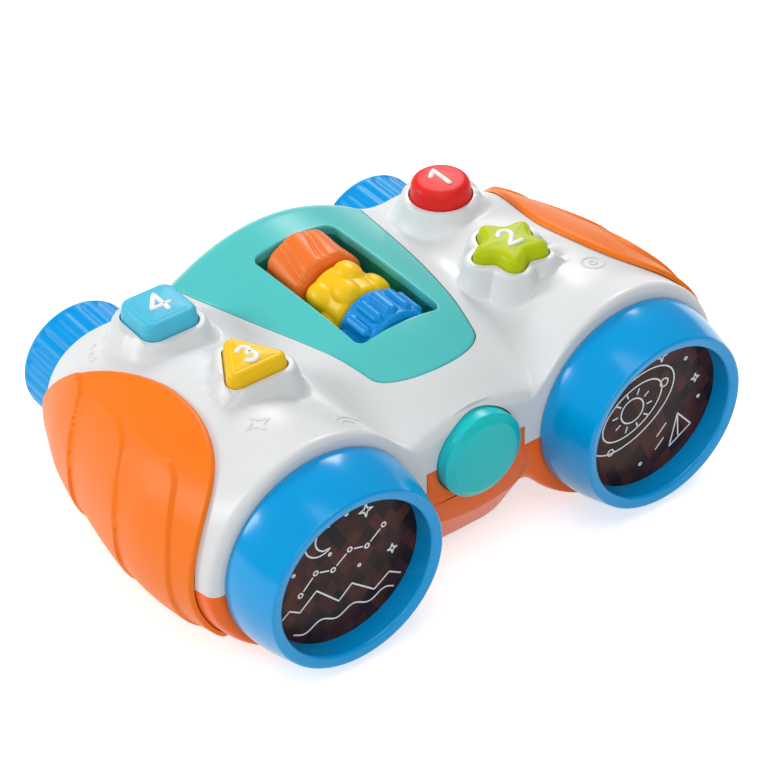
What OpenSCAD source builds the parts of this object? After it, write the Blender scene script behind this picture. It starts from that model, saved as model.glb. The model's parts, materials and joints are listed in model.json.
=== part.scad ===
// Toy binoculars: a two-part housing with side grips, a top panel with three
// rollers, four shaped push buttons, a front button, lens rims and eyepieces.
// X runs across, the lenses face -Y, and the toy stands on z = 0.

/* [Body] */
// Distance between the two barrel axes
barrel_spacing = 114; // [110:1:122]
// Front face of the housing, in front of the origin
front_reach = 57.5; // [56:0.5:60]
// Rear face of the housing, behind the origin
rear_reach = 57; // [56:0.5:60]
// Half width of a barrel at its front end
barrel_front_w = 37; // [36.5:0.5:39]
// Half width of a barrel at its widest place
barrel_mid_w = 41; // [39:0.5:43]
// Half width of a barrel's top on the inner side
barrel_inner_w = 31; // [29:0.5:36]
// Half width of a barrel at its rear end
barrel_rear_w = 23.4; // [22:0.1:26]
// Height of the barrel's crown at the front end
crown_front = 71.5; // [70:0.5:74]
// Height of the barrel's crown behind the front collar
crown_collar = 64.8; // [63.6:0.2:67]
// Height of the barrel's crown between the buttons
crown_mid = 62.6; // [61:0.2:63.4]
// Height of the barrel's crown at the rear buttons
crown_back = 56; // [54:0.5:58]
// Height of the barrel's crown at the rear end
crown_rear = 45.5; // [44:0.5:48]
// Height of the housing's split at the front
split_front = 32.5; // [31:0.5:34]
// Height of the housing's split at the rear
split_rear = 22.5; // [21.5:0.5:24]
// Depth by which the barrels are cut flat underneath
foot_cut = 1.5; // [1:0.1:2.5]
// Rounding of the housing's front edge
front_round = 3; // [1.5:0.5:4]
// Thickness of the housing's walls
wall = 2.2; // [1.8:0.1:2.6]

/* [Bridge] */
// Height of the bridge at its front lip
bridge_lip = 54.5; // [52:0.5:57]
// Height of the bridge at the panel's front edge
bridge_front = 60.5; // [59:0.5:62]
// Height of the bridge where it is tallest
bridge_top = 66.2; // [65:0.2:68]
// Height of the bridge at its rear end
bridge_rear = 64.2; // [63.6:0.2:66]
// Radius of the bridge's arched top
arch_radius = 54; // [48:1:62]
// Rounding of the bridge's rear edge
bridge_rear_round = 10; // [8:0.5:11]
// Width over which bridge and barrels blend
blend = 12; // [8:1:16]
// Height of the underside between the barrels
belly_height = 2.5; // [2:0.1:4]
// Half width of the flat part of that underside
belly_flat = 13.4; // [13:0.1:15]
// Radius by which the underside rises beside the flat part
belly_round = 6; // [4:0.5:8]
// Width over which the underside and the barrels blend
belly_blend = 12; // [8:1:14]
// Height of the front wall's lower edge
chin_height = 17; // [15:0.5:18]
// Depth over which the front slopes back below that edge
chin_run = 8.5; // [7:0.5:9]
// Radius by which that slope bows back beside the middle
chin_bow = 90; // [80:5:120]

/* [Fits] */
// Gap between pieces that are seated on each other
seat_gap = 0.3; // [0.2:0.05:0.4]
// Gap around a piece that slides in its guide
slide_gap = 0.4; // [0.3:0.05:0.5]
// Gap between a roller and its axle
axle_gap = 0.08; // [0.03:0.01:0.1]

/* [Rims and lenses] */
// Height of the lens axes
lens_height = 33.3; // [33.2:0.1:34.6]
// Outer radius of a lens rim at the housing
rim_r = 33.1; // [32:0.1:33.2]
// Outer radius of a lens rim's front lip
lip_r = 30; // [29.5:0.1:31]
// Radius of the opening in front of a lens
aperture_r = 26; // [24:0.1:26.2]
// How far a rim stands in front of the housing
rim_length = 19.2; // [17:0.1:22]
// Rounding of a rim's front lip
lip_round = 1.5; // [0.8:0.1:1.6]
// Depth of a lens behind the rim's front
lens_depth = 8; // [6:0.5:10]
// Radius of a lens
lens_r = 27.6; // [27:0.1:28]
// Thickness of a lens
lens_t = 1.6; // [1.2:0.1:2.2]
// Radius of the spigot that plugs a rim into the housing
spigot_r = 30; // [29.5:0.1:31]
// Length of the spigot inside the housing
spigot_length = 5; // [4:0.5:7]
// Depth of the ring that holds a lens in
lens_ring_t = 3; // [2:0.5:4]

/* [Eyepieces] */
// Height of the eyepiece axes
eyepiece_height = 21.2; // [20.8:0.1:22]
// Outer radius of an eyepiece
eyepiece_r = 20; // [19:0.1:20.5]
// How far an eyepiece stands behind the housing
eyepiece_length = 19.7; // [17:0.1:23]
// Number of ribs round an eyepiece
eyepiece_ribs = 24; // [16:1:32]
// Height of an eyepiece's ribs
eyepiece_rib = 0.5; // [0.3:0.1:0.7]
// Radius of an eyepiece's neck in the housing
neck_r = 16.9; // [16.5:0.1:17.4]
// Radius of an eyepiece's cup
cup_r = 14.6; // [13.5:0.1:15.2]
// Depth of an eyepiece's cup
cup_depth = 11; // [8:0.5:12]
// Radius of the sight hole through an eyepiece
sight_r = 9; // [8:0.5:10]
// Radius of an eye lens
eye_lens_r = 12.5; // [11.5:0.1:13]
// Thickness of an eye lens
eye_lens_t = 1.6; // [1.2:0.1:2]

/* [Mirror tunnels] */
// Outer side of a square mirror tunnel
tunnel_w = 24; // [22:0.5:25]
// Thickness of a mirror tunnel's walls
tunnel_t = 1.2; // [1:0.1:1.6]
// Thickness of the ribs that carry the tunnels
cradle_t = 1.6; // [1.2:0.1:2]

/* [Grips] */
// Thickness of a side grip
grip_t = 1.5; // [1.2:0.1:2]
// Height of a grip's finger ridges
grip_ridge = 0.9; // [0.5:0.1:1.2]
// Front end of a grip, behind the housing's front
grip_start = 7.5; // [6:0.5:10]
// Rear end of a grip, before the housing's rear
grip_end = 3; // [3:0.5:6]
// Angle of a grip's upper edge where it is highest
grip_up = 76; // [70:1:77]
// Angle of a grip's lower edge
grip_down = 58; // [50:1:62]

/* [Top panel] */
// Thickness of the top panel
panel_t = 2; // [1.6:0.1:2.4]
// Front edge of the panel, behind the housing's front
panel_start = 17; // [16:0.5:19]
// Rear edge of the panel, before the housing's rear
panel_end = 1.5; // [1.5:0.5:5]
// Half width of the panel at its front
panel_front_w = 17; // [15:0.5:19]
// Half width of the panel at its middle
panel_mid_w = 28.2; // [26:0.1:30]
// Half width of the panel at its rear
panel_rear_w = 36.5; // [34:0.5:38]
// Half width of the roller window
window_w = 15.2; // [14.5:0.1:16]
// Corner radius of the roller window
window_round = 3; // [2:0.5:4]

/* [Rollers] */
// Outer radius of the rollers
roller_r = 13.4; // [12.4:0.1:13.8]
// Height of the roller axle
axle_height = 55.5; // [54.5:0.1:56.5]
// Radius of the roller axle
axle_r = 1.5; // [1.2:0.1:2]
// Front end of the front roller, behind the housing's front
roller_start = 37; // [35:0.5:39]
// Length of the ribbed front roller
ribbed_length = 16; // [14:0.5:18]
// Length of the lobed middle roller
lobed_length = 18; // [16:0.5:19]
// Length of the ridged rear roller
ridged_length = 18.4; // [16:0.5:19]
// Space between two rollers
roller_space = 0.8; // [0.6:0.1:1.2]
// Space between a roller and the tray's end
tray_space = 1; // [0.6:0.1:1.6]
// Thickness of the roller tray's walls
tray_t = 1.6; // [1.2:0.1:2]
// Space between a roller and the tray's floor
tray_floor_space = 1; // [0.8:0.1:1.5]

/* [Top buttons] */
// Distance of the rear buttons inward of the barrel axes
back_button_in = 3.8; // [3:0.1:5]
// Place of the rear buttons behind the origin
back_button_y = 29; // [27:0.5:30]
// Height of the rear buttons' collars
back_collar = 62; // [61.4:0.1:62.8]
// Distance of the front buttons inward of the barrel axes
fore_button_in = 9.9; // [9:0.1:11]
// Place of the front buttons in front of the origin
fore_button_y = 13.4; // [12:0.1:14.5]
// Height of the front buttons' collars
fore_collar = 66.6; // [66:0.1:67.2]
// How far the triangle sits outward of the star's mirrored place
triangle_out = 1.5; // [0:0.1:2]
// How far the triangle sits behind the star's mirrored place
triangle_back = 1.2; // [0:0.1:2]
// Height of the front buttons above their collars
fore_rise = 4.6; // [4:0.1:5]
// Height of the rear buttons above their collars
back_rise = 5.6; // [5:0.1:6.5]
// Width of the step round a button's top
button_edge = 1.2; // [0.8:0.1:1.6]
// Radius of the round button
round_r = 9.6; // [9:0.1:10.2]
// Outer radius of the star button
star_r = 12.4; // [12:0.1:13]
// Depth of the star's notches
star_notch = 3.6; // [3:0.1:4]
// Distance of the triangle's corner centres from its middle
triangle_c = 8.1; // [7.4:0.1:8.4]
// Corner radius of the triangle button
triangle_round = 3.2; // [3:0.1:3.6]
// Distance of the square's corner centres from its middle
square_c = 6.1; // [5.8:0.1:6.6]
// Corner radius of the square button
square_round = 4.3; // [4:0.1:4.6]
// Travel of the buttons
button_travel = 2.5; // [2:0.1:3]
// Width of the rim that keeps a button in
keeper = 1.4; // [1.2:0.1:1.6]
// Thickness of that rim, and of the collar's roof
keeper_t = 1.6; // [1.4:0.1:2]
// Width of the collar round a button
collar_w = 3.4; // [3.2:0.1:4]
// Spread of the collar towards its foot
collar_spread = 2.6; // [1.5:0.1:3]
// Radius of a button's stem
stem_r = 2.2; // [1.8:0.1:2.4]

/* [Front button] */
// Height of the front button
front_button_height = 39.8; // [39:0.1:41]
// Radius of the front button
front_button_r = 14.3; // [13:0.1:15]
// How far the front button stands out
front_button_rise = 5; // [3.5:0.1:6]
// Width of the front button's bevel
front_button_bevel = 2.6; // [1.5:0.1:3]
// Half width of the lower shell's tab round the front button
tab_w = 18.2; // [17.8:0.1:19]

/* [Springs and switches] */
// Mean radius of a button spring
spring_r = 5.6; // [5:0.1:6]
// Radius of a button spring's wire
spring_wire = 0.4; // [0.3:0.05:0.5]
// Turns of a button spring
spring_turns = 5; // [4:1:7]
// Side of a push switch
switch_w = 6; // [5:0.1:6.5]
// Height of a push switch's body
switch_h = 3.5; // [3:0.1:4]
// Radius of a push switch's plunger
plunger_r = 1.5; // [1:0.1:1.8]
// Height of a push switch's plunger
plunger_h = 0.6; // [0.4:0.1:1]
// Thickness of the circuit boards
board_t = 1.6; // [1.2:0.1:2]
// Height of the button boards' upper faces
board_height = 46; // [45.5:0.1:47]
// Width of a button board
board_w = 25; // [22:0.5:26]
// Length of a button board
board_length = 64; // [60:1:64]
// Radius of the posts that carry the boards
post_r = 2.6; // [2.2:0.1:3]
// Distance between the two posts of a button board
post_spacing = 16; // [14:0.5:18]
// Depth of the front switch's board behind the housing's front
front_board_depth = 16; // [15.5:0.1:18]
// Width of the front switch's board
front_board_w = 44; // [43:0.5:45]
// Height of that board above the front button's axis
front_board_up = 9; // [8:0.5:10]
// Depth of that board below the front button's axis
front_board_down = 15; // [14.4:0.1:15.2]
// Distance of that board's posts from the middle
front_post_x = 19; // [18.5:0.1:19.2]
// Depth of that board's posts below the front button's axis
front_post_down = 11.8; // [11.4:0.1:12]

/* [Speaker and lights] */
// Radius of the speaker
speaker_r = 8.8; // [8.6:0.1:9.2]
// Depth of the speaker
speaker_h = 6; // [5:0.5:8]
// Place of the speaker, behind the housing's front
speaker_depth = 22.4; // [22:0.1:22.8]
// Radius of a hole in the speaker grille
grille_r = 1.2; // [0.9:0.1:1.5]
// Radius of a light in a mirror tunnel
light_r = 1.5; // [1.2:0.1:2]
// Place of the lights, behind the housing's front
light_depth = 14; // [11:0.5:18]

/* [Batteries] */
// Radius of a battery
battery_r = 5.2; // [5.1:0.1:5.3]
// Length of a battery
battery_length = 44.5; // [44:0.1:45]
// Distance between the two battery axes
battery_spacing = 11; // [10.9:0.1:11.6]
// Thickness of the battery box's walls
box_t = 1.6; // [1.2:0.1:2]
// Rear end of the battery box, before the housing's rear
box_end = 20.5; // [20.3:0.1:22]
// Thickness of a battery contact
contact_t = 0.8; // [0.5:0.1:1]
// Thickness of the battery door
door_t = 1.6; // [1.4:0.1:2]
// Margin of the battery door beside the battery box's opening
door_margin = 1.8; // [1.5:0.1:2]
// Length of the battery door's screw tab
door_tab = 9; // [8.5:0.1:10]
// Width of the main board
main_board_w = 24; // [20:0.5:26]
// Length of the main board
main_board_length = 44; // [40:1:46]

/* [Power switch] */
// Place of the power switch, before the housing's rear
power_end = 11; // [10.8:0.1:11.2]
// Travel of the power switch
power_travel = 4; // [3:0.1:5]
// Width of the power switch's knob
power_knob_w = 4; // [3:0.1:4.5]

/* [Fasteners] */
// Radius of a case screw's shank
screw_r = 1.4; // [1.2:0.1:1.6]
// Radius of a case screw's head
screw_head_r = 3; // [2.6:0.1:3.2]
// Height of a screw head
screw_head_h = 2; // [1.6:0.1:2.4]
// Distance of the case screws from the middle
screw_x = 37.5; // [37:0.5:38]
// Place of the front case screws, behind the housing's front
screw_start = 20; // [19:0.5:22]
// Place of the rear case screws, before the housing's rear
screw_end = 13; // [12:0.5:14]
// Depth of the case screws' heads above the ground
screw_sunk = 13; // [12:0.5:14]
// Radius of a small screw's shank
small_screw_r = 0.9; // [0.7:0.1:1]

/* [Hidden] */
$fn = 48;

white = "#dfe2e2";
orange = "#ee7a26";
red_orange = "#ec5f1f";
teal = "#5fc3c0";
dark_teal = "#1c8f78";
blue = "#0a9de0";
steel = "#b9bcc0";
board_green = "#2f7a4a";
black = "#26282b";

// Places that several pieces share
eps = 0.01;
front_y = -front_reach;
rear_y = rear_reach;
barrel_x = barrel_spacing / 2;
body_length = rear_y - front_y;
rim_front_y = front_y - seat_gap - rim_length;
spigot_bore_r = spigot_r + seat_gap / 2;
neck_bore_r = neck_r + seat_gap;
panel_front_y = front_y + panel_start;
panel_rear_y = rear_y - panel_end;
recess = panel_t + seat_gap;

// Roller places along Y
ribbed_y = front_y + roller_start;
lobed_y = ribbed_y + ribbed_length + roller_space;
ridged_y = lobed_y + lobed_length + roller_space;
tray_front_y = ribbed_y - tray_space;
tray_rear_y = ridged_y + ridged_length + tray_space;
tray_w = window_w + seat_gap;
tray_bottom = axle_height - roller_r - tray_floor_space;

// Button places
back_x = barrel_x - back_button_in;
fore_x = barrel_x - fore_button_in;
fore_y = -fore_button_y;
roof_t = keeper_t;
switch_top = switch_h + plunger_h;

// Battery box
floor_z = belly_height + wall;
pad_z = belly_height + door_t + 2 * seat_gap + wall;
box_inner_w = battery_spacing / 2 + battery_r + seat_gap;
box_rear_y = rear_y - box_end;
box_front_y = box_rear_y - battery_length - 2 * contact_t - 4 * seat_gap;
battery_z = pad_z + battery_r - wall + seat_gap;
box_top_z = battery_z + battery_r + seat_gap;
door_w = box_inner_w + door_margin;
door_front_y = box_front_y - box_t - door_tab;
door_rear_y = box_rear_y + door_margin;
door_screw_y = box_front_y - box_t - door_tab / 2;
door_screw_length = 9;

// Power switch and speaker
power_y = rear_y - power_end;
speaker_y = front_y + speaker_depth;
rail_t = 1.2;
rail_y = 3.8;
rail_x = 7;
knob_plate_x = 4.5;
knob_plate_y = 2.9;
knob_plate_t = 1.5;
knob_out = 1;
switch_x = 6;
switch_tall = 4;
rail_top = floor_z + knob_plate_t + 2 * seat_gap;
speaker_wall = 1.2;
speaker_wall_h = 3;
speaker_rim_h = 1.6;
grille_step = 4;
post_foot = belly_height + wall / 2;

// Rounded step that pulls an edge in by up to r over the last r of its length
function rounded(d, r) = d >= r ? 0 : r - sqrt(r * r - pow(r - max(0, d), 2));

// Smooth curve through stations of [place, value]
function slope_at(s, i) =
    let(a = max(0, i - 1), b = min(len(s) - 1, i + 1))
    (s[b][1] - s[a][1]) / (s[b][0] - s[a][0]);
function curve(s, y, i = 0) =
    (y > s[i + 1][0] && i < len(s) - 2) ? curve(s, y, i + 1) :
    let(w = s[i + 1][0] - s[i][0], u = min(1, max(0, (y - s[i][0]) / w)))
    (2 * u^3 - 3 * u^2 + 1) * s[i][1] + (u^3 - 2 * u^2 + u) * w * slope_at(s, i)
    + (3 * u^2 - 2 * u^3) * s[i + 1][1] + (u^3 - u^2) * w * slope_at(s, i + 1);

// Blends of two surfaces: the higher one, and the lower one
function higher(a, b) = max(a, b) + pow(max(blend - abs(a - b), 0), 2) / blend / 4;
function lower(a, b) = min(a, b) - pow(max(belly_blend - abs(a - b), 0), 2) / belly_blend / 4;

widest_at = 0.32;
waist_at = 0.78;
waist_in = -0.5;
collar_length = 18;
low_extra = 2;
chin_slope = (chin_height - belly_height) / chin_run;
side_stations = [
    [front_y, barrel_front_w], [front_y + widest_at * body_length, barrel_mid_w],
    [front_y + waist_at * body_length, (barrel_mid_w + barrel_rear_w) / 2 - waist_in],
    [rear_y, barrel_rear_w]
];
crown_stations = [
    [front_y, crown_front], [front_y + collar_length, crown_collar], [fore_y, crown_mid],
    [back_button_y, crown_back], [rear_y, crown_rear]
];
bridge_top_at = 0.37;
bridge_stations = [
    [front_y, bridge_lip], [panel_front_y, bridge_front],
    [front_y + bridge_top_at * body_length, bridge_top], [rear_y, bridge_rear]
];
panel_stations = [
    [panel_front_y, panel_front_w], [(panel_front_y + panel_rear_y) / 2, panel_mid_w],
    [panel_rear_y, panel_rear_w]
];

// Housing surface: split height, barrel half width, crown and bridge
function split_z(y) = split_front + (split_rear - split_front) * (y - front_y) / body_length;
function end_round(y) = rounded(y - front_y, front_round) + rounded(rear_y - y, front_round) / 2;
function side_w(y, inset) = curve(side_stations, y) - inset - end_round(y);
function crown_z(y, inset) = curve(crown_stations, y) - inset - end_round(y);
function bridge_z(y) =
    curve(bridge_stations, y) - rounded(y - front_y, front_round) - rounded(rear_y - y, bridge_rear_round);
function arch_z(x, y, inset) = bridge_z(y) - x * x / (2 * arch_radius) - inset;
function inner_w(y) =
    barrel_inner_w + (barrel_front_w - barrel_inner_w) * pow(max(0, 1 - (y - front_y) / collar_length), 2);
function hump_z(x, y, inset) =
    let(u = (barrel_x - abs(x)) / inner_w(y))
    split_z(y) + (crown_z(y, inset) - split_z(y)) * sqrt(max(0, 1 - u * u));
function top_z(x, y, inset) = higher(hump_z(x, y, inset), arch_z(x, y, inset));
function barrel_under_z(x, y, inset) =
    let(u = (barrel_x - abs(x)) / (side_w(y, inset) + low_extra), d = split_z(y) + foot_cut - inset)
    split_z(y) - d * sqrt(max(0, 1 - u * u)) + barrel_mid_w * max(0, u - 1);
function under_z(x, y, inset) =
    belly_height + inset + pow(max(0, abs(x) - belly_flat), 2) / (2 * belly_round)
    + chin_slope * max(0, front_y + chin_run + x * x / (2 * chin_bow) + inset - y)
    + rounded(rear_y - y, front_round);
valley_lip = 1.6;
function bottom_z(x, y, inset) =
    min(split_z(y) - valley_lip + min(inset, valley_lip / 2),
        max(inset, lower(barrel_under_z(x, y, inset), under_z(x, y, inset))));

// Top of the roller tray, just under the panel
tray_top = top_z(tray_w + tray_t, tray_rear_y + tray_t, recess) - seat_gap;

// Outer quarter of a barrel, at an angle above or below the split
squareness = 0.88;
front_squareness = 1.04;
round_front = 45;
function square_at(y) =
    squareness + (front_squareness - squareness) * pow(max(0, 1 - (y - front_y) / round_front), 2);
function quarter(y, angle, inset) =
    let(c = pow(cos(angle), square_at(y)), s = pow(abs(sin(angle)), square_at(y)))
    [barrel_x + side_w(y, inset) * c,
     angle >= 0 ? split_z(y) + (top_z(barrel_x, y, inset) - split_z(y)) * s
                : max(inset, split_z(y) - (split_z(y) + foot_cut - inset) * s)];

// Half width of the top panel, with its rounded front and rear ends
function round_end(d, r) = d >= r ? 1 : sqrt(max(0.01, 1 - pow(1 - max(0, d) / r, 2)));
panel_front_bow = 9;
panel_rear_bow = 2.5;
function panel_w(y, margin = 0) =
    curve(panel_stations, y) * round_end(y - panel_front_y + margin, panel_front_bow)
    * round_end(panel_rear_y - y + margin, panel_rear_bow) + margin;
function in_panel(y) = y > panel_front_y - seat_gap && y < panel_rear_y + seat_gap;

// One cross-section of the housing's upper half, and one of its lower half
quarter_steps = 8;
flank_steps = 6;
middle_steps = 6;
function upper_half(y, inset, sunk) =
    let(w = panel_w(y, seat_gap), edge = w + seat_gap, drop = in_panel(y) ? sunk : 0)
    concat(
        [for (i = [0 : quarter_steps]) quarter(y, 90 * i / quarter_steps, inset)],
        [for (i = [1 : flank_steps])
            let(x = barrel_x + (edge - barrel_x) * i / flank_steps) [x, top_z(x, y, inset)]],
        [for (i = [0 : middle_steps - 1])
            let(x = w * (1 - i / middle_steps)) [x, top_z(x, y, inset) - drop]],
        [[0, top_z(0, y, inset) - drop]]);
function lower_half(y, inset) =
    concat(
        [for (i = [0 : quarter_steps]) quarter(y, -90 * i / quarter_steps, inset)],
        [for (i = [1 : flank_steps + middle_steps])
            let(x = barrel_x * (1 - i / (flank_steps + middle_steps))) [x, bottom_z(x, y, inset)]]);
function mirrored(half) = [for (i = [len(half) - 2 : -1 : 0]) [-half[i][0], half[i][1]]];
function ring(y, half) = [for (p = concat(half, mirrored(half))) [p[0], y, p[1]]];

// Stations along the housing, closer together at its ends and at the panel's ends
function stations(inset, step) =
    let(a = front_y + inset, b = rear_y - inset, n = round((b - a - 2 * front_round) / step))
    concat(
        [a, a + front_round * 0.12, a + front_round * 0.45],
        [for (i = [0 : n]) a + front_round + (b - a - 2 * front_round) * i / n],
        [b - front_round * 0.45, b - front_round * 0.12, b]);
function with_panel_ends(list) =
    let(a = panel_front_y, b = panel_rear_y, g = seat_gap * 1.01)
    concat(
        [for (y = list) if (y < a - 1.5) y], [a - g, a - g * 0.98, a, a + 1, a + 3],
        [for (y = list) if (y > a + 4 && y < b - 4) y],
        [b - 3, b - 1.6, b - 0.6, b, b + g * 0.98, b + g],
        [for (y = list) if (y > b + 1) y]);

// Solid through a row of rings with equal numbers of points
function loft_sides(n, m) =
    [for (i = [0 : m - 2], j = [0 : n - 1])
        let(k = (j + 1) % n, a = i * n + j, b = i * n + k)
        each [[a, b, a + n], [b, b + n, a + n]]];
module loft(rings) {
    n = len(rings[0]);
    m = len(rings);
    front = [for (j = [n - 1 : -1 : 0]) j];
    back = [for (j = [0 : n - 1]) (m - 1) * n + j];
    polyhedron(points = [for (r = rings) each r], faces = concat(loft_sides(n, m), [front, back]),
        convexity = 10);
}

// Half of the housing: a loft whose end walls are laid out in strips from the
// outline to a row of points just inside its straight edge
cap_in = 1;
function cap_row(ring, side, lead) =
    [for (j = [1 + lead : len(ring) - 2 - lead]) [ring[j][0], ring[j][1], ring[0][2] + side * cap_in / 2]];
function cap_faces(n, start, row, lead) =
    let(k = n - 2 - 2 * lead, half = floor((k + 1) / 2))
    let(a = [for (i = [0 : k + 1]) start + lead + i])
    let(c = [for (i = [0 : k + 1]) i == 0 ? start : i == k + 1 ? start + n - 1 : row + i - 1])
    concat(
        [for (i = [0 : k]) if (a[i + 1] != c[i + 1]) [a[i], a[i + 1], c[i + 1]]],
        [for (i = [0 : k]) if (a[i] != c[i]) [a[i], c[i + 1], c[i]]],
        [for (i = [1 : k - 1]) [i < half ? c[0] : c[k + 1], c[i], c[i + 1]]],
        [[c[0], c[half], c[k + 1]]]);
module half_loft(rings, side, lead) {
    n = len(rings[0]);
    m = len(rings);
    front = cap_faces(n, 0, m * n, lead);
    back = cap_faces(n, (m - 1) * n, m * n + n - 2 - 2 * lead, lead);
    polyhedron(
        points = concat([for (r = rings) each r],
            cap_row(rings[0], side, lead), cap_row(rings[m - 1], side, lead)),
        faces = concat(loft_sides(n, m), [for (f = front) [f[2], f[1], f[0]]], back), convexity = 10);
}
module upper_body(inset, below, sunk, step) {
    list = inset > 0 ? stations(inset, step) : with_panel_ends(stations(0, step));
    half_loft([for (y = list)
        let(h = ring(y, upper_half(y, inset, sunk)), n = len(h))
        below > 0
            ? concat([[h[0][0], y, h[0][2] - below]], h, [[h[n - 1][0], y, h[n - 1][2] - below]]) : h],
        1, below > 0 ? 1 : 0);
}
module lower_body(inset, above, step) {
    half_loft([for (y = stations(inset, step))
        let(h = ring(y, lower_half(y, inset)), n = len(h))
        let(r = above > 0
            ? concat([[h[0][0], y, h[0][2] + above]], h, [[h[n - 1][0], y, h[n - 1][2] + above]]) : h)
        [for (i = [len(r) - 1 : -1 : 0]) r[i]]],
        -1, above > 0 ? 1 : 0);
}

// Places a shape whose own Z becomes +Y
module along_y(x, y, z) {
    translate([x, y, z]) rotate([-90, 0, 0]) children();
}
// Ring or disc about Y
module rod_y(x, y, z, r, length) {
    along_y(x, y, z) cylinder(r = r, h = length);
}
module box(x0, x1, y0, y1, z0, z1) {
    translate([x0, y0, z0]) cube([x1 - x0, y1 - y0, z1 - z0]);
}

// Outlines of the shaped buttons, grown by a margin
star_turn = -117;
square_in = 1;
function star_outline(grow) =
    [for (a = [0 : 6 : 354])
        (star_r - star_notch * (1 - cos(5 * a)) / 2 + grow) * [cos(a + star_turn), sin(a + star_turn)]];
function soft_polygon(n, c, r, turn) =
    [for (k = [0 : n - 1], i = [0 : 6])
        let(t = turn + 360 * k / n, a = t - 180 / n + 360 / n * i / 6)
        c * [cos(t), sin(t)] + r * [cos(a), sin(a)]];
function triangle_outline(grow) = soft_polygon(3, triangle_c, triangle_round + grow, 90);
function square_outline(grow) = soft_polygon(4, square_c * sqrt(2) - square_in, square_round + grow, 45);
function button_outline(kind, grow) =
    kind == "star" ? star_outline(grow)
    : kind == "triangle" ? triangle_outline(grow) : square_outline(grow);
function button_x(kind) =
    kind == "round" ? back_x : kind == "star" ? fore_x
    : kind == "triangle" ? -fore_x - triangle_out : -back_x;
function button_y(kind) =
    at_back(kind) ? back_button_y
    : kind == "triangle" ? fore_y + triangle_back : fore_y;
function at_back(kind) = kind == "round" || kind == "square";
function collar_z(kind) = at_back(kind) ? back_collar : fore_collar;
function rise(kind) = at_back(kind) ? back_rise : fore_rise;
kinds = ["round", "star", "triangle", "square"];

module at_button(kind) {
    translate([button_x(kind), button_y(kind), 0]) children();
}
module prism(kind, grow, z0, z1) {
    translate([0, 0, z0]) linear_extrude(z1 - z0)
        if (kind == "round") circle(r = round_r + grow);
        else polygon(button_outline(kind, grow));
}

// Collar that stands on the upper shell round a button, and the space inside it
module collar(kind) {
    foot = top_z(button_x(kind), button_y(kind), 0) - 2 * collar_spread;
    at_button(kind) {
        prism(kind, collar_w, foot, collar_z(kind));
        prism(kind, collar_w + collar_spread / 2, foot, collar_z(kind) - collar_spread);
    }
}
module collar_space(kind) {
    z = collar_z(kind);
    at_button(kind) {
        prism(kind, slide_gap, z - 2 * roof_t, z + 1);
        prism(kind, keeper + slide_gap, board_height + switch_top, z - roof_t);
    }
}

// Places of the posts and screws
function board_x(side) = side * (back_x + fore_x) / 2;
board_y = (back_button_y + fore_y) / 2;
board_posts = [for (side = [-1, 1], k = [-1, 1]) [board_x(side) + k * post_spacing / 2, board_y]];
case_posts = [for (side = [-1, 1], y = [front_y + screw_start, rear_y - screw_end]) [side * screw_x, y]];
case_post_r = screw_head_r + wall;
case_screw_length = 22;
case_pilot = case_screw_length + screw_sunk + seat_gap;
small_screw_length = 5;
small_head_h = 1.2;
pilot_gap = seat_gap / 6;
front_board_y = front_y + front_board_depth;
front_post_z = front_button_height - front_post_down;

module top_shell() {
    color(white) difference() {
        union() {
            difference() {
                upper_body(0, 0, recess, 7);
                upper_body(wall, 1, recess, 9);
            }
            intersection() {
                union() {
                    for (k = kinds) collar(k);
                }
                box(-2 * barrel_x, 2 * barrel_x, front_y, rear_y, board_height + switch_top, crown_front);
            }
            for (p = board_posts)
                translate([p[0], p[1], board_height])
                    cylinder(r = post_r, h = top_z(p[0], p[1], wall / 2) - board_height);
            for (p = case_posts)
                translate([p[0], p[1], split_z(p[1])])
                    cylinder(r = screw_r + wall, h = top_z(p[0], p[1], wall / 2) - split_z(p[1]));
        }
        for (k = kinds) collar_space(k);
        for (p = board_posts)
            translate([p[0], p[1], board_height - eps])
                cylinder(r = small_screw_r + pilot_gap, h = small_screw_length + seat_gap);
        for (p = case_posts)
            translate([p[0], p[1], split_z(p[1]) - eps])
                cylinder(r = screw_r + pilot_gap, h = case_pilot - split_z(p[1]));
        for (side = [-1, 1]) {
            rod_y(side * barrel_x, front_y - 1, lens_height, spigot_bore_r, wall + 2);
            rod_y(side * barrel_x, rear_y - wall - 1, eyepiece_height, neck_bore_r, wall + 2);
        }
        rod_y(0, front_y - 1, front_button_height, front_button_r + slide_gap, wall + 2 + button_travel);
        box(-tab_w - seat_gap, tab_w + seat_gap, front_y - 1, front_y + wall + eps,
            split_front - 2 * wall, front_button_height);
        box(-tray_w - tray_t - seat_gap, tray_w + tray_t + seat_gap, tray_front_y - tray_t - seat_gap,
            tray_rear_y + tray_t + seat_gap, tray_bottom, crown_front);
    }
}

// Ribs that carry a mirror tunnel
function tunnel_z(y) =
    let(u = (y - tunnel_front_y) / (tunnel_rear_y - tunnel_front_y))
    lens_height - tunnel_drop + (eyepiece_height - lens_height + 2 * tunnel_drop) * u;
tunnel_drop = 0.7;
tunnel_front_y = front_y + 2 * wall;
tunnel_rear_y = rear_y - 4 * wall;
tunnel_tilt = atan2(tunnel_z(tunnel_rear_y) - tunnel_z(tunnel_front_y), tunnel_rear_y - tunnel_front_y);
cradle_places = [front_y + 0.25 * body_length, front_y + 0.7 * body_length];
function cradle_top(y) = tunnel_z(y) - tunnel_w / 2 / cos(tunnel_tilt) - seat_gap;

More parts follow.
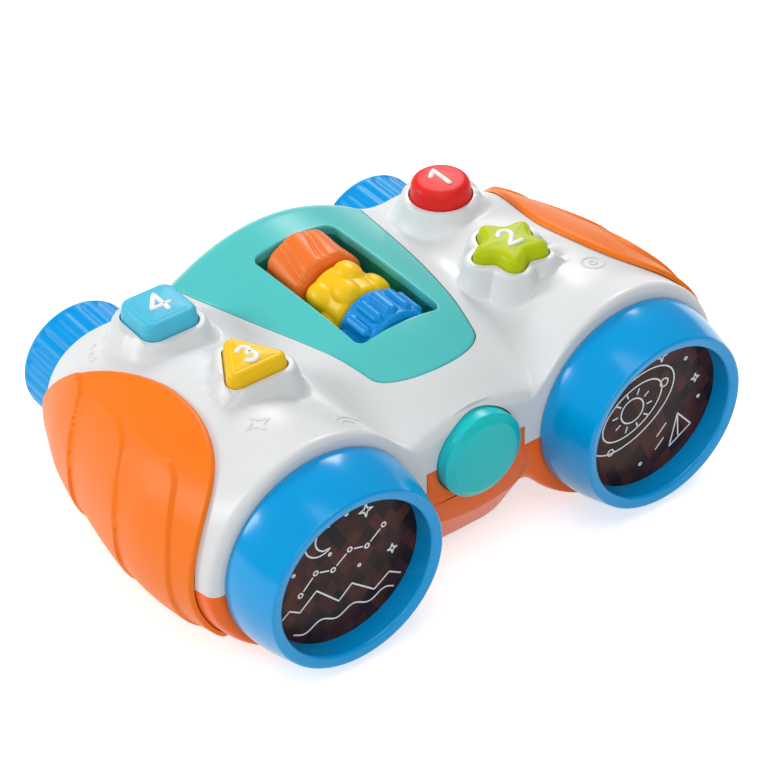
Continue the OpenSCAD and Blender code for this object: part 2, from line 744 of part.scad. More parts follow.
module speaker_seat() {
    translate([0, speaker_y, post_foot]) difference() {
        cylinder(r = speaker_r + seat_gap + speaker_wall, h = speaker_wall_h);
        translate([0, 0, -eps]) cylinder(r = speaker_r + seat_gap, h = speaker_wall_h + 1);
    }
}
module grille() {
    for (k = [0 : 2], i = [0 : max(0, 6 * k - 1)])
        let(a = k == 0 ? 0 : 60 * i / k)
        translate([grille_step * k * cos(a), speaker_y + grille_step * k * sin(a), belly_height - wall])
            cylinder(r = grille_r, h = 3 * wall);
}
module bottom_shell() {
    knob_x = (power_knob_w + power_travel) / 2 + slide_gap;
    knob_y = power_knob_w / 2 + slide_gap;
    color(red_orange) difference() {
        union() {
            difference() {
                lower_body(0, 0, 7);
                lower_body(wall, 1, 9);
            }
            box(-tab_w, tab_w, front_y, front_y + wall, split_front - wall, front_button_height - seat_gap);
            box(-door_w - wall, door_w + wall, door_front_y - wall, door_rear_y + wall, belly_height, pad_z);
            translate([0, door_screw_y, belly_height])
                cylinder(r = screw_r + wall, h = door_screw_length + wall);
            for (side = [-1, 1], y = cradle_places)
                box(side * barrel_x - tunnel_w / 3, side * barrel_x + tunnel_w / 3, y, y + cradle_t,
                    wall / 2, cradle_top(y + cradle_t));
            for (p = case_posts)
                let(foot = bottom_z(p[0], p[1], 0) + wall / 2)
                translate([p[0], p[1], foot]) cylinder(r = case_post_r, h = split_z(p[1]) - seat_gap - foot);
            speaker_seat();
            for (s = [-1, 1])
                let(y = power_y + s * (rail_y + rail_t / 2))
                box(-rail_x, rail_x, y - rail_t / 2, y + rail_t / 2, post_foot, rail_top);
            for (s = [-1, 1])
                rod_y(s * front_post_x, front_y + wall / 2, front_post_z,
                    post_r, front_board_depth - wall / 2);
        }
        for (s = [-1, 1])
            rod_y(s * front_post_x, front_board_y - small_screw_length - seat_gap, front_post_z,
                small_screw_r + pilot_gap, small_screw_length + 1);
        for (p = case_posts)
            translate([p[0], p[1], -1]) {
                cylinder(r = screw_head_r + seat_gap, h = screw_sunk + 1);
                cylinder(r = screw_r + seat_gap, h = split_front + 2);
            }
        for (side = [-1, 1]) {
            rod_y(side * barrel_x, front_y - 1, lens_height, spigot_bore_r, wall + 2);
            rod_y(side * barrel_x, rear_y - wall - 1, eyepiece_height, neck_bore_r, wall + 2);
        }
        rod_y(0, front_y - 1, front_button_height, front_button_r + slide_gap, wall + 2);
        box(-door_w - seat_gap, door_w + seat_gap, door_front_y - seat_gap, door_rear_y + seat_gap,
            belly_height - wall, belly_height + door_t + seat_gap);
        box(-box_inner_w, box_inner_w, box_front_y, box_rear_y, belly_height, pad_z + 1);
        translate([0, door_screw_y, belly_height - 1])
            cylinder(r = screw_r + pilot_gap, h = door_screw_length + seat_gap + 1);
        grille();
        box(-knob_x, knob_x, power_y - knob_y, power_y + knob_y, belly_height - wall, floor_z + eps);
    }
}

// Side grip: a skin over the barrel's outer side, with three finger ridges
grip_front_y = front_y + grip_start;
grip_rear_y = rear_y - grip_end;
grip_middle = 5;
grip_rows = 22;
grip_columns = 12;
grip_top_at = 0.45;
grip_front_power = 2.5;
grip_rear_power = 1.7;
grip_low_power = 7;
grip_clear = 0.6;
ridge_pitch = 3.2;
ridge_lean = 0.06;
function grip_place(y) = (y - grip_front_y) / (grip_rear_y - grip_front_y);
function grip_bow(u, p) = pow(max(0.0016, 1 - pow(min(1, abs(u)), p)), 1 / p);
function grip_top(t) =
    let(front = t < grip_top_at, u = (t - grip_top_at) / (front ? grip_top_at : 1 - grip_top_at))
    (grip_up - grip_middle) * grip_bow(u, front ? grip_front_power : grip_rear_power);
function grip_low(t) = (grip_down + grip_middle) * grip_bow(2 * t - 1, grip_low_power);
function grip_angle(y, v) =
    grip_middle + v * (v > 0 ? grip_top(grip_place(y)) : grip_low(grip_place(y)));
function ridge(y, v) =
    let(w = ridge_pitch * (grip_place(y) - ridge_lean * sin(180 * v)), f = w - floor(w))
    grip_ridge * (1 - f) * max(0, 1 - v * v) * (w > 0 && w < 3 ? 1 : 0);
function grip_point(y, v, inset) =
    let(q = quarter(y, grip_angle(y, v), inset)) [q[0], y, max(grip_clear, q[1])];
module grip(side) {
    rows = [for (i = [0 : grip_rows])
        grip_front_y + (grip_rear_y - grip_front_y) * (1 - cos(180 * i / grip_rows)) / 2];
    mirror([side < 0 ? 1 : 0, 0, 0])
        loft([for (y = rows) concat(
            [for (j = [0 : grip_columns])
                let(v = 1 - 2 * j / grip_columns) grip_point(y, v, -seat_gap)],
            [for (j = [0 : grip_columns])
                let(v = -1 + 2 * j / grip_columns) grip_point(y, v, -seat_gap - grip_t - ridge(y, v))])]);
}
module left_grip() {
    color(orange) grip(-1);
}
module right_grip() {
    color(orange) grip(1);
}

// Arched panel with the roller window
panel_rows = 20;
panel_columns = 14;
window_front_y = tray_front_y + tray_t - 1;
window_rear_y = tray_rear_y + 1;
module window(x, y0, y1, r, z0, z1) {
    translate([0, 0, z0]) linear_extrude(z1 - z0) union() {
        translate([-x, y0 + r]) square([2 * x, y1 - y0 - 2 * r]);
        translate([-x + r, y0]) square([2 * x - 2 * r, y1 - y0]);
        for (sx = [-1, 1], y = [y0 + r, y1 - r]) translate([sx * (x - r), y]) circle(r = r);
    }
}
module top_panel() {
    rows = [for (i = [0 : panel_rows])
        panel_front_y + (panel_rear_y - panel_front_y) * (1 - cos(180 * i / panel_rows)) / 2];
    color(teal) difference() {
        loft([for (y = rows) concat(
            [for (j = [0 : panel_columns])
                let(x = panel_w(y) * (1 - 2 * j / panel_columns)) [x, y, top_z(x, y, panel_t)]],
            [for (j = [0 : panel_columns])
                let(x = panel_w(y) * (-1 + 2 * j / panel_columns)) [x, y, top_z(x, y, 0)]])]);
        window(window_w, window_front_y, window_rear_y, window_round, tray_bottom, crown_front);
    }
}

module roller_tray() {
    length = tray_rear_y - tray_front_y + 2 * tray_t;
    color(dark_teal) difference() {
        box(-tray_w - tray_t, tray_w + tray_t, tray_front_y - tray_t, tray_rear_y + tray_t,
            tray_bottom - tray_t, tray_top);
        box(-tray_w, tray_w, tray_front_y, tray_rear_y, tray_bottom, tray_top + 1);
        rod_y(0, tray_front_y - tray_t - 1, axle_height, axle_r + eps, length + 2);
    }
}
module roller_axle() {
    color(steel)
        rod_y(0, tray_front_y - tray_t, axle_height, axle_r, tray_rear_y - tray_front_y + 2 * tray_t);
}

// Wavy roller outline
function wavy(r, depth, waves, n) =
    [for (i = [0 : n - 1]) let(a = 360 * i / n) (r - depth * (1 - cos(waves * a)) / 2) * [cos(a), sin(a)]];
module roller(y, length, depth, waves, twist) {
    difference() {
        along_y(0, y, axle_height)
            linear_extrude(length, twist = twist, slices = twist > 0 ? 5 : 1)
                polygon(wavy(roller_r, depth, waves, 6 * waves));
        rod_y(0, y - 1, axle_height, axle_r + axle_gap, length + 2);
    }
}
module ridged_roller() {
    color("#ee7a2a") roller(ridged_y, ridged_length, 0.8, 16, 20);
}
module lobed_roller() {
    color("#f4c322") roller(lobed_y, lobed_length, 2.2, 6, 0);
}
module ribbed_roller() {
    color("#0c96da") roller(ribbed_y, ribbed_length, 1.3, 14, 0);
}

// Push button: cap, keeper rim under the collar's roof, and stem over its switch
module push_button(kind) {
    top = collar_z(kind) + rise(kind);
    rim_top = collar_z(kind) - roof_t - seat_gap;
    stem_end = board_height + switch_top + button_travel + seat_gap;
    at_button(kind) {
        prism(kind, 0, rim_top - keeper_t, top - button_edge);
        prism(kind, -button_edge, top - button_edge - eps, top);
        prism(kind, keeper, rim_top - keeper_t, rim_top);
        translate([0, 0, stem_end]) cylinder(r = stem_r, h = rim_top - stem_end);
    }
}
module round_button() {
    color("#e2322f") push_button("round");
}
module star_button() {
    color("#c3d021") push_button("star");
}
module triangle_button() {
    color("#f2c81e") push_button("triangle");
}
module square_button() {
    color("#52bfdd") push_button("square");
}

// Front button, built along its own axis
front_edge = 1.2;
front_keeper_up = 11.8;
module front_button() {
    r = front_button_r;
    flange = wall + seat_gap;
    stem_end = front_board_depth - switch_top - button_travel - seat_gap;
    color("#2bb3b0") along_y(0, front_y, front_button_height) {
        difference() {
            rotate_extrude() polygon(concat(
                [[0, -front_button_rise], [r - front_button_bevel, front_edge - front_button_rise]],
                [[r - front_edge / 2, 2.5 * front_edge - front_button_rise]],
                [[r, 3 * front_edge - front_button_rise], [r, flange], [r + keeper, flange]],
                [[r + keeper, flange + keeper_t], [0, flange + keeper_t]]));
            translate([-2 * r, -2 * r, flange])
                cube([4 * r, 2 * r - front_keeper_up, 2 * keeper_t]);
        }
        translate([0, 0, flange]) cylinder(r = stem_r, h = stem_end - flange);
    }
}

// Coil spring: one unbroken tube round Z
spring_ring = 8;
spring_sides = 6;
function spring_point(r, wire, turns, length, i, j) =
    let(n = turns * spring_ring, a = 360 * i / spring_ring, b = 360 * j / spring_sides)
    let(rr = r + wire * cos(b))
    [rr * cos(a), rr * sin(a), wire + (length - 2 * wire) * i / n + wire * sin(b)];
module spring(length) {
    loft([for (i = [0 : spring_turns * spring_ring])
        [for (j = [spring_sides - 1 : -1 : 0])
            spring_point(spring_r, spring_wire, spring_turns, length, i, j)]]);
}
function spring_length(kind) = collar_z(kind) - roof_t - keeper_t - 3 * seat_gap - board_height;
module button_spring(kind) {
    color(steel) at_button(kind) translate([0, 0, board_height + seat_gap]) spring(spring_length(kind));
}
module round_button_spring() {
    button_spring("round");
}
module star_button_spring() {
    button_spring("star");
}
module triangle_button_spring() {
    button_spring("triangle");
}
module square_button_spring() {
    button_spring("square");
}
front_spring_start = wall + keeper_t + 2 * seat_gap;
module front_button_spring() {
    color(steel) along_y(0, front_y + front_spring_start, front_button_height)
        spring(front_board_depth - front_spring_start - seat_gap);
}

module button_board(side) {
    color(board_green) difference() {
        box(board_x(side) - board_w / 2, board_x(side) + board_w / 2,
            board_y - board_length / 2, board_y + board_length / 2, board_height - board_t, board_height);
        for (p = board_posts)
            translate([p[0], p[1], board_height - board_t - 1])
                cylinder(r = small_screw_r + seat_gap, h = board_t + 2);
    }
}
module left_button_board() {
    button_board(-1);
}
module right_button_board() {
    button_board(1);
}
module front_switch_board() {
    color(board_green) difference() {
        box(-front_board_w / 2, front_board_w / 2, front_board_y, front_board_y + board_t,
            front_button_height - front_board_down, front_button_height + front_board_up);
        for (s = [-1, 1])
            rod_y(s * front_post_x, front_board_y - 1, front_post_z, small_screw_r + seat_gap, board_t + 2);
    }
}
module push_switch() {
    translate([-switch_w / 2, -switch_w / 2, 0]) cube([switch_w, switch_w, switch_h]);
    cylinder(r = plunger_r, h = switch_top);
}
module push_switches() {
    color(black) {
        for (k = kinds) at_button(k) translate([0, 0, board_height]) push_switch();
        along_y(0, front_board_y, front_button_height) mirror([0, 0, 1]) push_switch();
    }
}
module small_screw() {
    cylinder(r = small_screw_r, h = board_t + small_screw_length);
    translate([0, 0, -small_head_h]) cylinder(r = 2 * small_screw_r, h = small_head_h);
}
module board_screws() {
    color(steel) {
        for (p = board_posts) translate([p[0], p[1], board_height - board_t]) small_screw();
        for (s = [-1, 1])
            translate([s * front_post_x, front_board_y + board_t, front_post_z])
                rotate([90, 0, 0]) small_screw();
    }
}

// Lens rim, from its rounded lip to the spigot
rim_steps = 6;
module rim(side) {
    pocket_r = lens_r + seat_gap;
    spigot_end = rim_length + seat_gap + spigot_length;
    color(blue) along_y(side * barrel_x, rim_front_y, lens_height) rotate_extrude($fn = 96) polygon(concat(
        [[aperture_r, lens_depth]],
        [for (a = [0 : 22.5 : 90])
            [aperture_r + lip_round * (1 - cos(a)), lip_round * (1 - sin(a))]],
        [for (a = [90 : -22.5 : 0])
            [lip_r - lip_round * (1 - cos(a)), lip_round * (1 - sin(a))]],
        [for (i = [1 : rim_steps])
            [lip_r + (rim_r - lip_r) * sin(90 * i / rim_steps),
             lip_round + (rim_length - lip_round) * i / rim_steps]],
        [[spigot_r, rim_length], [spigot_r, spigot_end], [pocket_r, spigot_end], [pocket_r, lens_depth]]));
}
module left_rim() {
    rim(-1);
}
module right_rim() {
    rim(1);
}
module lens(side) {
    color("#3b2f31") rod_y(side * barrel_x, rim_front_y + lens_depth + eps, lens_height, lens_r, lens_t);
}
module left_lens() {
    lens(-1);
}
module right_lens() {
    lens(1);
}
module lens_ring(side) {
    y = rim_front_y + lens_depth + lens_t + 2 * eps;
    color(black) difference() {
        rod_y(side * barrel_x, y, lens_height, lens_r, lens_ring_t);
        rod_y(side * barrel_x, y - 1, lens_height, aperture_r - wall / 2, lens_ring_t + 2);
    }
}
module left_lens_ring() {
    lens_ring(-1);
}
module right_lens_ring() {
    lens_ring(1);
}

// Square tunnel of mirrored walls from the lens to the eyepiece
light_y = front_y + light_depth;
module mirror_tunnel(side) {
    length = (tunnel_rear_y - tunnel_front_y) / cos(tunnel_tilt);
    hollow = tunnel_w - 2 * tunnel_t;
    color(steel) difference() {
        translate([side * barrel_x, tunnel_front_y, tunnel_z(tunnel_front_y)])
            rotate([tunnel_tilt, 0, 0]) difference() {
                translate([-tunnel_w / 2, 0, -tunnel_w / 2]) cube([tunnel_w, length, tunnel_w]);
                translate([-hollow / 2, -1, -hollow / 2]) cube([hollow, length + 2, hollow]);
            }
        translate([side * (barrel_x - tunnel_w / 2), light_y, tunnel_z(light_y)]) rotate([0, 90, 0])
            cylinder(r = light_r + seat_gap / 2, h = 4 * tunnel_t, center = true);
    }
}
module left_mirror_tunnel() {
    mirror_tunnel(-1);
}
module right_mirror_tunnel() {
    mirror_tunnel(1);
}
light_tail = 5;
light_flange = 1.2;
module lights() {
    color("#f4f4e8") for (side = [-1, 1])
        translate([side * (barrel_x - tunnel_w / 2), light_y, tunnel_z(light_y)]) rotate([0, side * 90, 0]) {
            translate([0, 0, -light_tail]) cylinder(r = light_r, h = light_tail + 2 * tunnel_t);
            translate([0, 0, -light_flange - seat_gap])
                cylinder(r = light_r + tunnel_t / 2, h = light_flange);
        }
}

// Eyepiece: ribbed cup, neck through the housing's rear wall and a keeper flange
module eyepiece(side) {
    start = rear_y + seat_gap;
    end = start + eyepiece_length;
    flange_y = rear_y - wall - seat_gap - keeper_t;
    color(blue) difference() {
        union() {
            along_y(side * barrel_x, start, eyepiece_height) linear_extrude(eyepiece_length)
                polygon(wavy(eyepiece_r, eyepiece_rib, eyepiece_ribs, 6 * eyepiece_ribs));
            rod_y(side * barrel_x, flange_y, eyepiece_height, neck_r, start - flange_y + eps);
            rod_y(side * barrel_x, flange_y, eyepiece_height, neck_r + keeper, keeper_t);
        }
        rod_y(side * barrel_x, end - cup_depth, eyepiece_height, cup_r, cup_depth + 1);
        rod_y(side * barrel_x, end - cup_depth - eye_lens_t, eyepiece_height,
            eye_lens_r + seat_gap, cup_depth + 1);
        rod_y(side * barrel_x, flange_y - 1, eyepiece_height, sight_r, end - flange_y);
    }
}
module left_eyepiece() {
    eyepiece(-1);
}
module right_eyepiece() {
    eyepiece(1);
}
module eye_lens(side) {
    end = rear_y + seat_gap + eyepiece_length;
    color("#cfd8dc")
        rod_y(side * barrel_x, end - cup_depth - eye_lens_t + eps, eyepiece_height,
            eye_lens_r, eye_lens_t - eps);
}
module left_eye_lens() {
    eye_lens(-1);
}
module right_eye_lens() {
    eye_lens(1);
}

module speaker() {
    color(black) translate([0, speaker_y, floor_z + seat_gap]) {
        cylinder(r = speaker_r, h = speaker_rim_h);
        translate([0, 0, speaker_rim_h - eps])
            cylinder(r1 = speaker_r - speaker_wall, r2 = speaker_r / 2, h = speaker_h / 2);
        cylinder(r = speaker_r / 2, h = speaker_h);
    }
}

// Battery box, open below, with two batteries and their contacts
module battery_box() {
    color(black) difference() {
        box(-box_inner_w - box_t, box_inner_w + box_t, box_front_y - box_t, box_rear_y + box_t,
            pad_z, box_top_z + box_t);
        box(-box_inner_w, box_inner_w, box_front_y, box_rear_y, pad_z - 1, box_top_z);
    }
}
battery_nib = 1.2;
module batteries() {
    y = (box_front_y + box_rear_y - battery_length) / 2;
    color("#7d8a94") for (s = [-1, 1]) {
        rod_y(s * battery_spacing / 2, y + (s > 0 ? 0 : battery_nib), battery_z, battery_r,
            battery_length - battery_nib);
        rod_y(s * battery_spacing / 2, y, battery_z, battery_r / 3, battery_length);
    }
}
module battery_contacts() {
    w = 0.7 * battery_r;
    color(steel) for (s = [-1, 1], y = [box_front_y + eps, box_rear_y - contact_t - eps])
        let(x = s * battery_spacing / 2)
        box(x - w, x + w, y, y + contact_t, battery_z - w, battery_z + w);
}
module battery_door() {
    color(red_orange) difference() {
        box(-door_w, door_w, door_front_y, door_rear_y, belly_height, belly_height + door_t);
        translate([0, door_screw_y, belly_height - 1]) {
            cylinder(r = screw_r + seat_gap, h = door_t + 2);
            cylinder(r = screw_head_r + seat_gap, h = 1 + door_t / 2);
        }
    }
}
module door_screw() {
    color(steel) translate([0, door_screw_y, belly_height]) {
        cylinder(r = screw_head_r, h = door_t / 2 - eps);
        cylinder(r = screw_r, h = door_screw_length);
    }
}
chip_w = 12;
chip_length = 16;
chip_t = 2;
module main_board() {
    y = (box_front_y + box_rear_y) / 2;
    z = box_top_z + box_t;
    color(board_green) {
        box(-main_board_w / 2, main_board_w / 2, y - main_board_length / 2, y + main_board_length / 2,
            z, z + board_t);
        box(-chip_w / 2, chip_w / 2, y - chip_length / 2, y + chip_length / 2,
            z + board_t - eps, z + board_t + chip_t);
    }
}

// Power switch: body on two rails, and the knob that slides below it
module slide_switch() {
    color(black) box(-switch_x, switch_x, power_y - rail_y - rail_t, power_y + rail_y + rail_t,
        rail_top, rail_top + switch_tall);
}
module power_knob() {
    w = power_knob_w / 2;
    x = -power_travel / 2;
    z = floor_z + seat_gap;
    color(black) {
        box(x - knob_plate_x, x + knob_plate_x, power_y - knob_plate_y, power_y + knob_plate_y,
            z, z + knob_plate_t);
        box(x - w, x + w, power_y - w, power_y + w, belly_height - knob_out, z + eps);
    }
}
module case_screws() {
    color(steel) for (p = case_posts) translate([p[0], p[1], screw_sunk - screw_head_h]) {
        cylinder(r = screw_head_r, h = screw_head_h - eps);
        cylinder(r = screw_r, h = case_screw_length + screw_head_h);
    }
}

top_shell();
bottom_shell();
left_grip();
right_grip();
top_panel();
roller_tray();
roller_axle();
ridged_roller();
lobed_roller();
ribbed_roller();
round_button();
star_button();
triangle_button();
square_button();
front_button();
round_button_spring();
star_button_spring();
triangle_button_spring();
square_button_spring();
front_button_spring();
left_button_board();
right_button_board();
front_switch_board();
push_switches();
board_screws();
left_rim();
right_rim();
left_lens();
right_lens();
left_lens_ring();
right_lens_ring();
left_mirror_tunnel();
right_mirror_tunnel();
left_eyepiece();
right_eyepiece();
left_eye_lens();
right_eye_lens();
lights();
speaker();
battery_box();
batteries();
battery_contacts();
battery_door();
door_screw();
main_board();
slide_switch();
power_knob();
case_screws();
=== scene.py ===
# %% [markdown]
# # Toy binoculars
# A chunky pair of child's binoculars: a white upper shell, an orange lower shell and side grips,
# a teal panel with three finger rollers, shaped push buttons, blue lens rims and ribbed eyepieces.
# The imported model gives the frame: every piece below is made in the same place and size, in metres,
# and rides on the body that it belongs to.

# %% Load the frame
import json
import math
import bpy
import bmesh
import numpy as np
from mathutils import Matrix, Vector


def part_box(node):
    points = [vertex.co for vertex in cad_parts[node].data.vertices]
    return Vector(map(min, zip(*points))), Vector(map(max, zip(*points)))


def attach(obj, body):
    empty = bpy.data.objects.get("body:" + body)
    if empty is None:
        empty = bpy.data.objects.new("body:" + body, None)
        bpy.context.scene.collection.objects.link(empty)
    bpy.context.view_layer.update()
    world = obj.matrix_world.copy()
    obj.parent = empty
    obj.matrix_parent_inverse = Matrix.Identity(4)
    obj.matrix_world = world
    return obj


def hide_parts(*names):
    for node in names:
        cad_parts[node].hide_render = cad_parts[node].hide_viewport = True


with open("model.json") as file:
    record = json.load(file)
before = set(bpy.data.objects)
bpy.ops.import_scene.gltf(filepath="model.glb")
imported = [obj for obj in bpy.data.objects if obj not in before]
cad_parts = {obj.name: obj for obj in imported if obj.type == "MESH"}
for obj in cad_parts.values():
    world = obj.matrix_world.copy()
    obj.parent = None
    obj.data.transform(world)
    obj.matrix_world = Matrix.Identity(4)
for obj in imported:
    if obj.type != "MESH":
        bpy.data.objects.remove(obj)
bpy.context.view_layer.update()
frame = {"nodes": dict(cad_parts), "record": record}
scene = bpy.context.scene
scene.view_settings.view_transform = "Standard"
MM = 0.001

# %% [markdown]
# ## Camera
# The view was worked out from the photograph: from the front left, about 38 degrees above the table,
# with a long lens, so that parallel edges stay nearly parallel. The tiny roll is the photograph's own.

# %% Camera
AZIMUTH, ELEVATION, ROLL = math.radians(-35.71), math.radians(38.31), math.radians(-1.47)
CAMERA_PLACE = Vector((-401.77, -573.62, 579.40)) * MM
LENS_PIXELS, FRAME_PIXELS, SENSOR, FAR_CLIP = 2875.8, 780, 36, 20

back = Vector((math.sin(AZIMUTH) * math.cos(ELEVATION), -math.cos(AZIMUTH) * math.cos(ELEVATION),
               math.sin(ELEVATION)))
right = (-back).cross(Vector((0, 0, 1))).normalized()
up = back.cross(right)
right, up = (right * math.cos(ROLL) + up * math.sin(ROLL),
             up * math.cos(ROLL) - right * math.sin(ROLL))
camera_data = bpy.data.cameras.new("camera")
camera_data.sensor_width = SENSOR
camera_data.lens = SENSOR * LENS_PIXELS / FRAME_PIXELS
camera_data.clip_end = FAR_CLIP
camera = bpy.data.objects.new("camera", camera_data)
camera.matrix_world = Matrix((right, up, back)).transposed().to_4x4()
camera.matrix_world.translation = CAMERA_PLACE
scene.collection.objects.link(camera)
scene.camera = camera
print("camera lens", round(camera_data.lens, 1), "mm")

# %% [markdown]
# ## Finishes
# The toy is moulded from coloured plastics: a satin white shell, silky orange grips, glossy blue rims.
# Moulded plastic is never one flat colour: the tool leaves a fine grain, the pigment drifts a little,
# and the gloss changes where hands rub it. These effects are node groups, placed in each material with
# its own values.

# %% Node groups
FLOAT, COLOUR = "NodeSocketFloat", "NodeSocketColor"
NOISE_ROUGHNESS = 0.55


def new_group(name, inputs, outputs):
    group = bpy.data.node_groups.new(name, "ShaderNodeTree")
    for label, kind, value in inputs:
        socket = group.interface.new_socket(name=label, in_out="INPUT", socket_type=kind)
        socket.default_value = value
    for label, kind in outputs:
        group.interface.new_socket(name=label, in_out="OUTPUT", socket_type=kind)
    return group, group.nodes.new("NodeGroupInput"), group.nodes.new("NodeGroupOutput")


def feed(tree, socket, value):
    """Sets a socket to a number, or links another socket to it."""
    if isinstance(value, (int, float)):
        socket.default_value = value
    elif value is not None:
        tree.links.new(value, socket)


def math_node(tree, operation, a, b=None, clamp=False):
    node = tree.nodes.new("ShaderNodeMath")
    node.operation, node.use_clamp = operation, clamp
    feed(tree, node.inputs[0], a)
    feed(tree, node.inputs[1], b)
    return node.outputs[0]


def noise_node(tree, place, scale, detail):
    node = tree.nodes.new("ShaderNodeTexNoise")
    for label, value in (("Vector", place), ("Scale", scale), ("Detail", detail),
                         ("Roughness", NOISE_ROUGHNESS)):
        feed(tree, node.inputs[label], value)
    return node.outputs["Fac"]


grain, gi, go = new_group("moulded_grain",
                          [("Scale", FLOAT, 1400), ("Gloss", FLOAT, 0.3), ("Rub", FLOAT, 0.08)],
                          [("Height", FLOAT), ("Roughness", FLOAT)])
coords = grain.nodes.new("ShaderNodeTexCoord").outputs["Object"]
fine = noise_node(grain, coords, gi.outputs["Scale"], 2.0)
rubbed = noise_node(grain, coords, 28.0, 4.0)
grain.links.new(fine, go.inputs["Height"])
swing = math_node(grain, "MULTIPLY", math_node(grain, "SUBTRACT", rubbed, 0.5), gi.outputs["Rub"])
grain.links.new(math_node(grain, "ADD", gi.outputs["Gloss"], swing, True), go.inputs["Roughness"])

drift, di, do = new_group("pigment_drift", [("Colour", COLOUR, (1, 1, 1, 1)),
                                            ("Deep", COLOUR, (0, 0, 0, 1)), ("Amount", FLOAT, 0.1)],
                          [("Colour", COLOUR)])
coords = drift.nodes.new("ShaderNodeTexCoord").outputs["Object"]
broad = math_node(drift, "MULTIPLY", noise_node(drift, coords, 17.0, 3.0), 0.7)
speckle = math_node(drift, "MULTIPLY", noise_node(drift, coords, 420.0, 2.0), 0.3)
cloud = math_node(drift, "ADD", broad, speckle)
mix = drift.nodes.new("ShaderNodeMix")
mix.data_type = "RGBA"
MIX_FACTOR, MIX_A, MIX_B, MIX_RESULT = 0, 6, 7, 2
drift.links.new(math_node(drift, "MULTIPLY", cloud, di.outputs["Amount"]), mix.inputs[MIX_FACTOR])
drift.links.new(di.outputs["Colour"], mix.inputs[MIX_A])
drift.links.new(di.outputs["Deep"], mix.inputs[MIX_B])
drift.links.new(mix.outputs[MIX_RESULT], do.inputs["Colour"])
print("node groups", [g.name for g in bpy.data.node_groups])

# %% Plastics
PLASTIC_IOR, COAT_ROUGHNESS, GRAIN_HEIGHT = 1.46, 0.12, 0.0004


def linear(*colour):
    """Linear colour of an everyday 0 to 255 one."""
    shares = [v / 255 for v in colour]
    return (*(v / 12.92 if v <= 0.04045 else ((v + 0.055) / 1.055) ** 2.4 for v in shares), 1.0)


def place_group(tree, group, **values):
    node = tree.nodes.new("ShaderNodeGroup")
    node.node_tree = group
    for label, value in values.items():
        node.inputs[label].default_value = value
    return node


def new_material(name, **values):
    """A material, its node tree and its shader, with values set on the shader's sockets."""
    material = bpy.data.materials.new(name)
    material.use_nodes = True
    shader = material.node_tree.nodes["Principled BSDF"]
    for label, value in values.items():
        shader.inputs[label.replace("_", " ")].default_value = value
    return material, material.node_tree, shader


def plastic(name, colour, deep, gloss, amount, scale, bump, sheen=0.26, rub=0.1, coat=0.0, metal=0.0):
    """A moulded plastic: drifting pigment, fine grain, and gloss that changes where it is rubbed."""
    material, tree, shader = new_material(name, IOR=PLASTIC_IOR, Coat_Weight=coat, Metallic=metal,
                                          Coat_Roughness=COAT_ROUGHNESS, Specular_IOR_Level=sheen)
    pigment = place_group(tree, drift, Colour=linear(*colour), Deep=linear(*deep), Amount=amount)
    tree.links.new(pigment.outputs["Colour"], shader.inputs["Base Color"])
    surface = place_group(tree, grain, Scale=scale, Gloss=gloss, Rub=rub)
    tree.links.new(surface.outputs["Roughness"], shader.inputs["Roughness"])
    relief = tree.nodes.new("ShaderNodeBump")
    relief.inputs["Strength"].default_value = bump
    relief.inputs["Distance"].default_value = GRAIN_HEIGHT
    tree.links.new(surface.outputs["Height"], relief.inputs["Height"])
    tree.links.new(relief.outputs["Normal"], shader.inputs["Normal"])
    return material


# Each row: colour, deeper colour, gloss, drift, grain scale, bump, and where they differ sheen, rub, coat.
PLASTICS = {
    "white_shell": ((226, 228, 229), (206, 208, 210), 0.36, 0.4, 1500, 0.06, 0.4),
    "orange_shell": ((255, 112, 26), (240, 92, 14), 0.3, 0.35, 1300, 0.05, 0.2),
    "orange_grip": ((250, 126, 26), (242, 108, 12), 0.42, 0.4, 1800, 0.10, 0.22),
    "teal": ((88, 200, 198), (66, 188, 186), 0.32, 0.4, 1400, 0.05, 0.24),
    "front_teal": ((30, 204, 206), (10, 186, 190), 0.26, 0.4, 1300, 0.04, 0.3),
    # Painted shade: a darker copy of the panel's teal for the roller tray, which lies in shadow under the
    # window.
    "dark_teal": ((34, 150, 132), (20, 122, 104), 0.42, 0.5, 1500, 0.08),
    "blue": ((0, 162, 230), (0, 148, 218), 0.18, 0.3, 900, 0.015, 0.34, 0.06, 0.06),
    "eyepiece_blue": ((0, 158, 230), (0, 140, 214), 0.36, 0.35, 1400, 0.05, 0.18),
    "roller_blue": ((0, 146, 220), (0, 124, 204), 0.34, 0.4, 1400, 0.05, 0.22),
    "roller_orange": ((246, 126, 52), (232, 104, 30), 0.38, 0.45, 1500, 0.06, 0.22),
    "yellow": ((250, 203, 30), (240, 186, 14), 0.34, 0.35, 1300, 0.04, 0.22),
    "red": ((236, 44, 40), (218, 26, 26), 0.4, 0.35, 1200, 0.03, 0.2, 0.08),
    "green": ((190, 206, 14), (174, 190, 4), 0.4, 0.35, 1300, 0.03, 0.2),
    "light_blue": ((84, 196, 226), (58, 178, 212), 0.4, 0.35, 1200, 0.03, 0.2, 0.08),
    "print_white": ((242, 243, 244), (228, 230, 232), 0.4, 0.3, 2000, 0.03),
    "black": ((40, 42, 46), (26, 27, 30), 0.45, 0.5, 1500, 0.1),
    "board": ((38, 116, 66), (24, 88, 46), 0.4, 0.6, 900, 0.1),
    "battery": ((120, 130, 138), (92, 100, 108), 0.35, 0.5, 900, 0.05),
}
FINISH = {name: plastic(name, *row) for name, row in PLASTICS.items()}
for name, colour, gloss in (("steel", (196, 198, 202), 0.32), ("mirror_foil", (226, 222, 218), 0.06)):
    deep = [0.8 * c for c in colour]
    FINISH[name] = plastic(name, colour, deep, gloss, 0.5, 2600, 0.08, metal=1.0)
print("plastics and metals", len(FINISH))
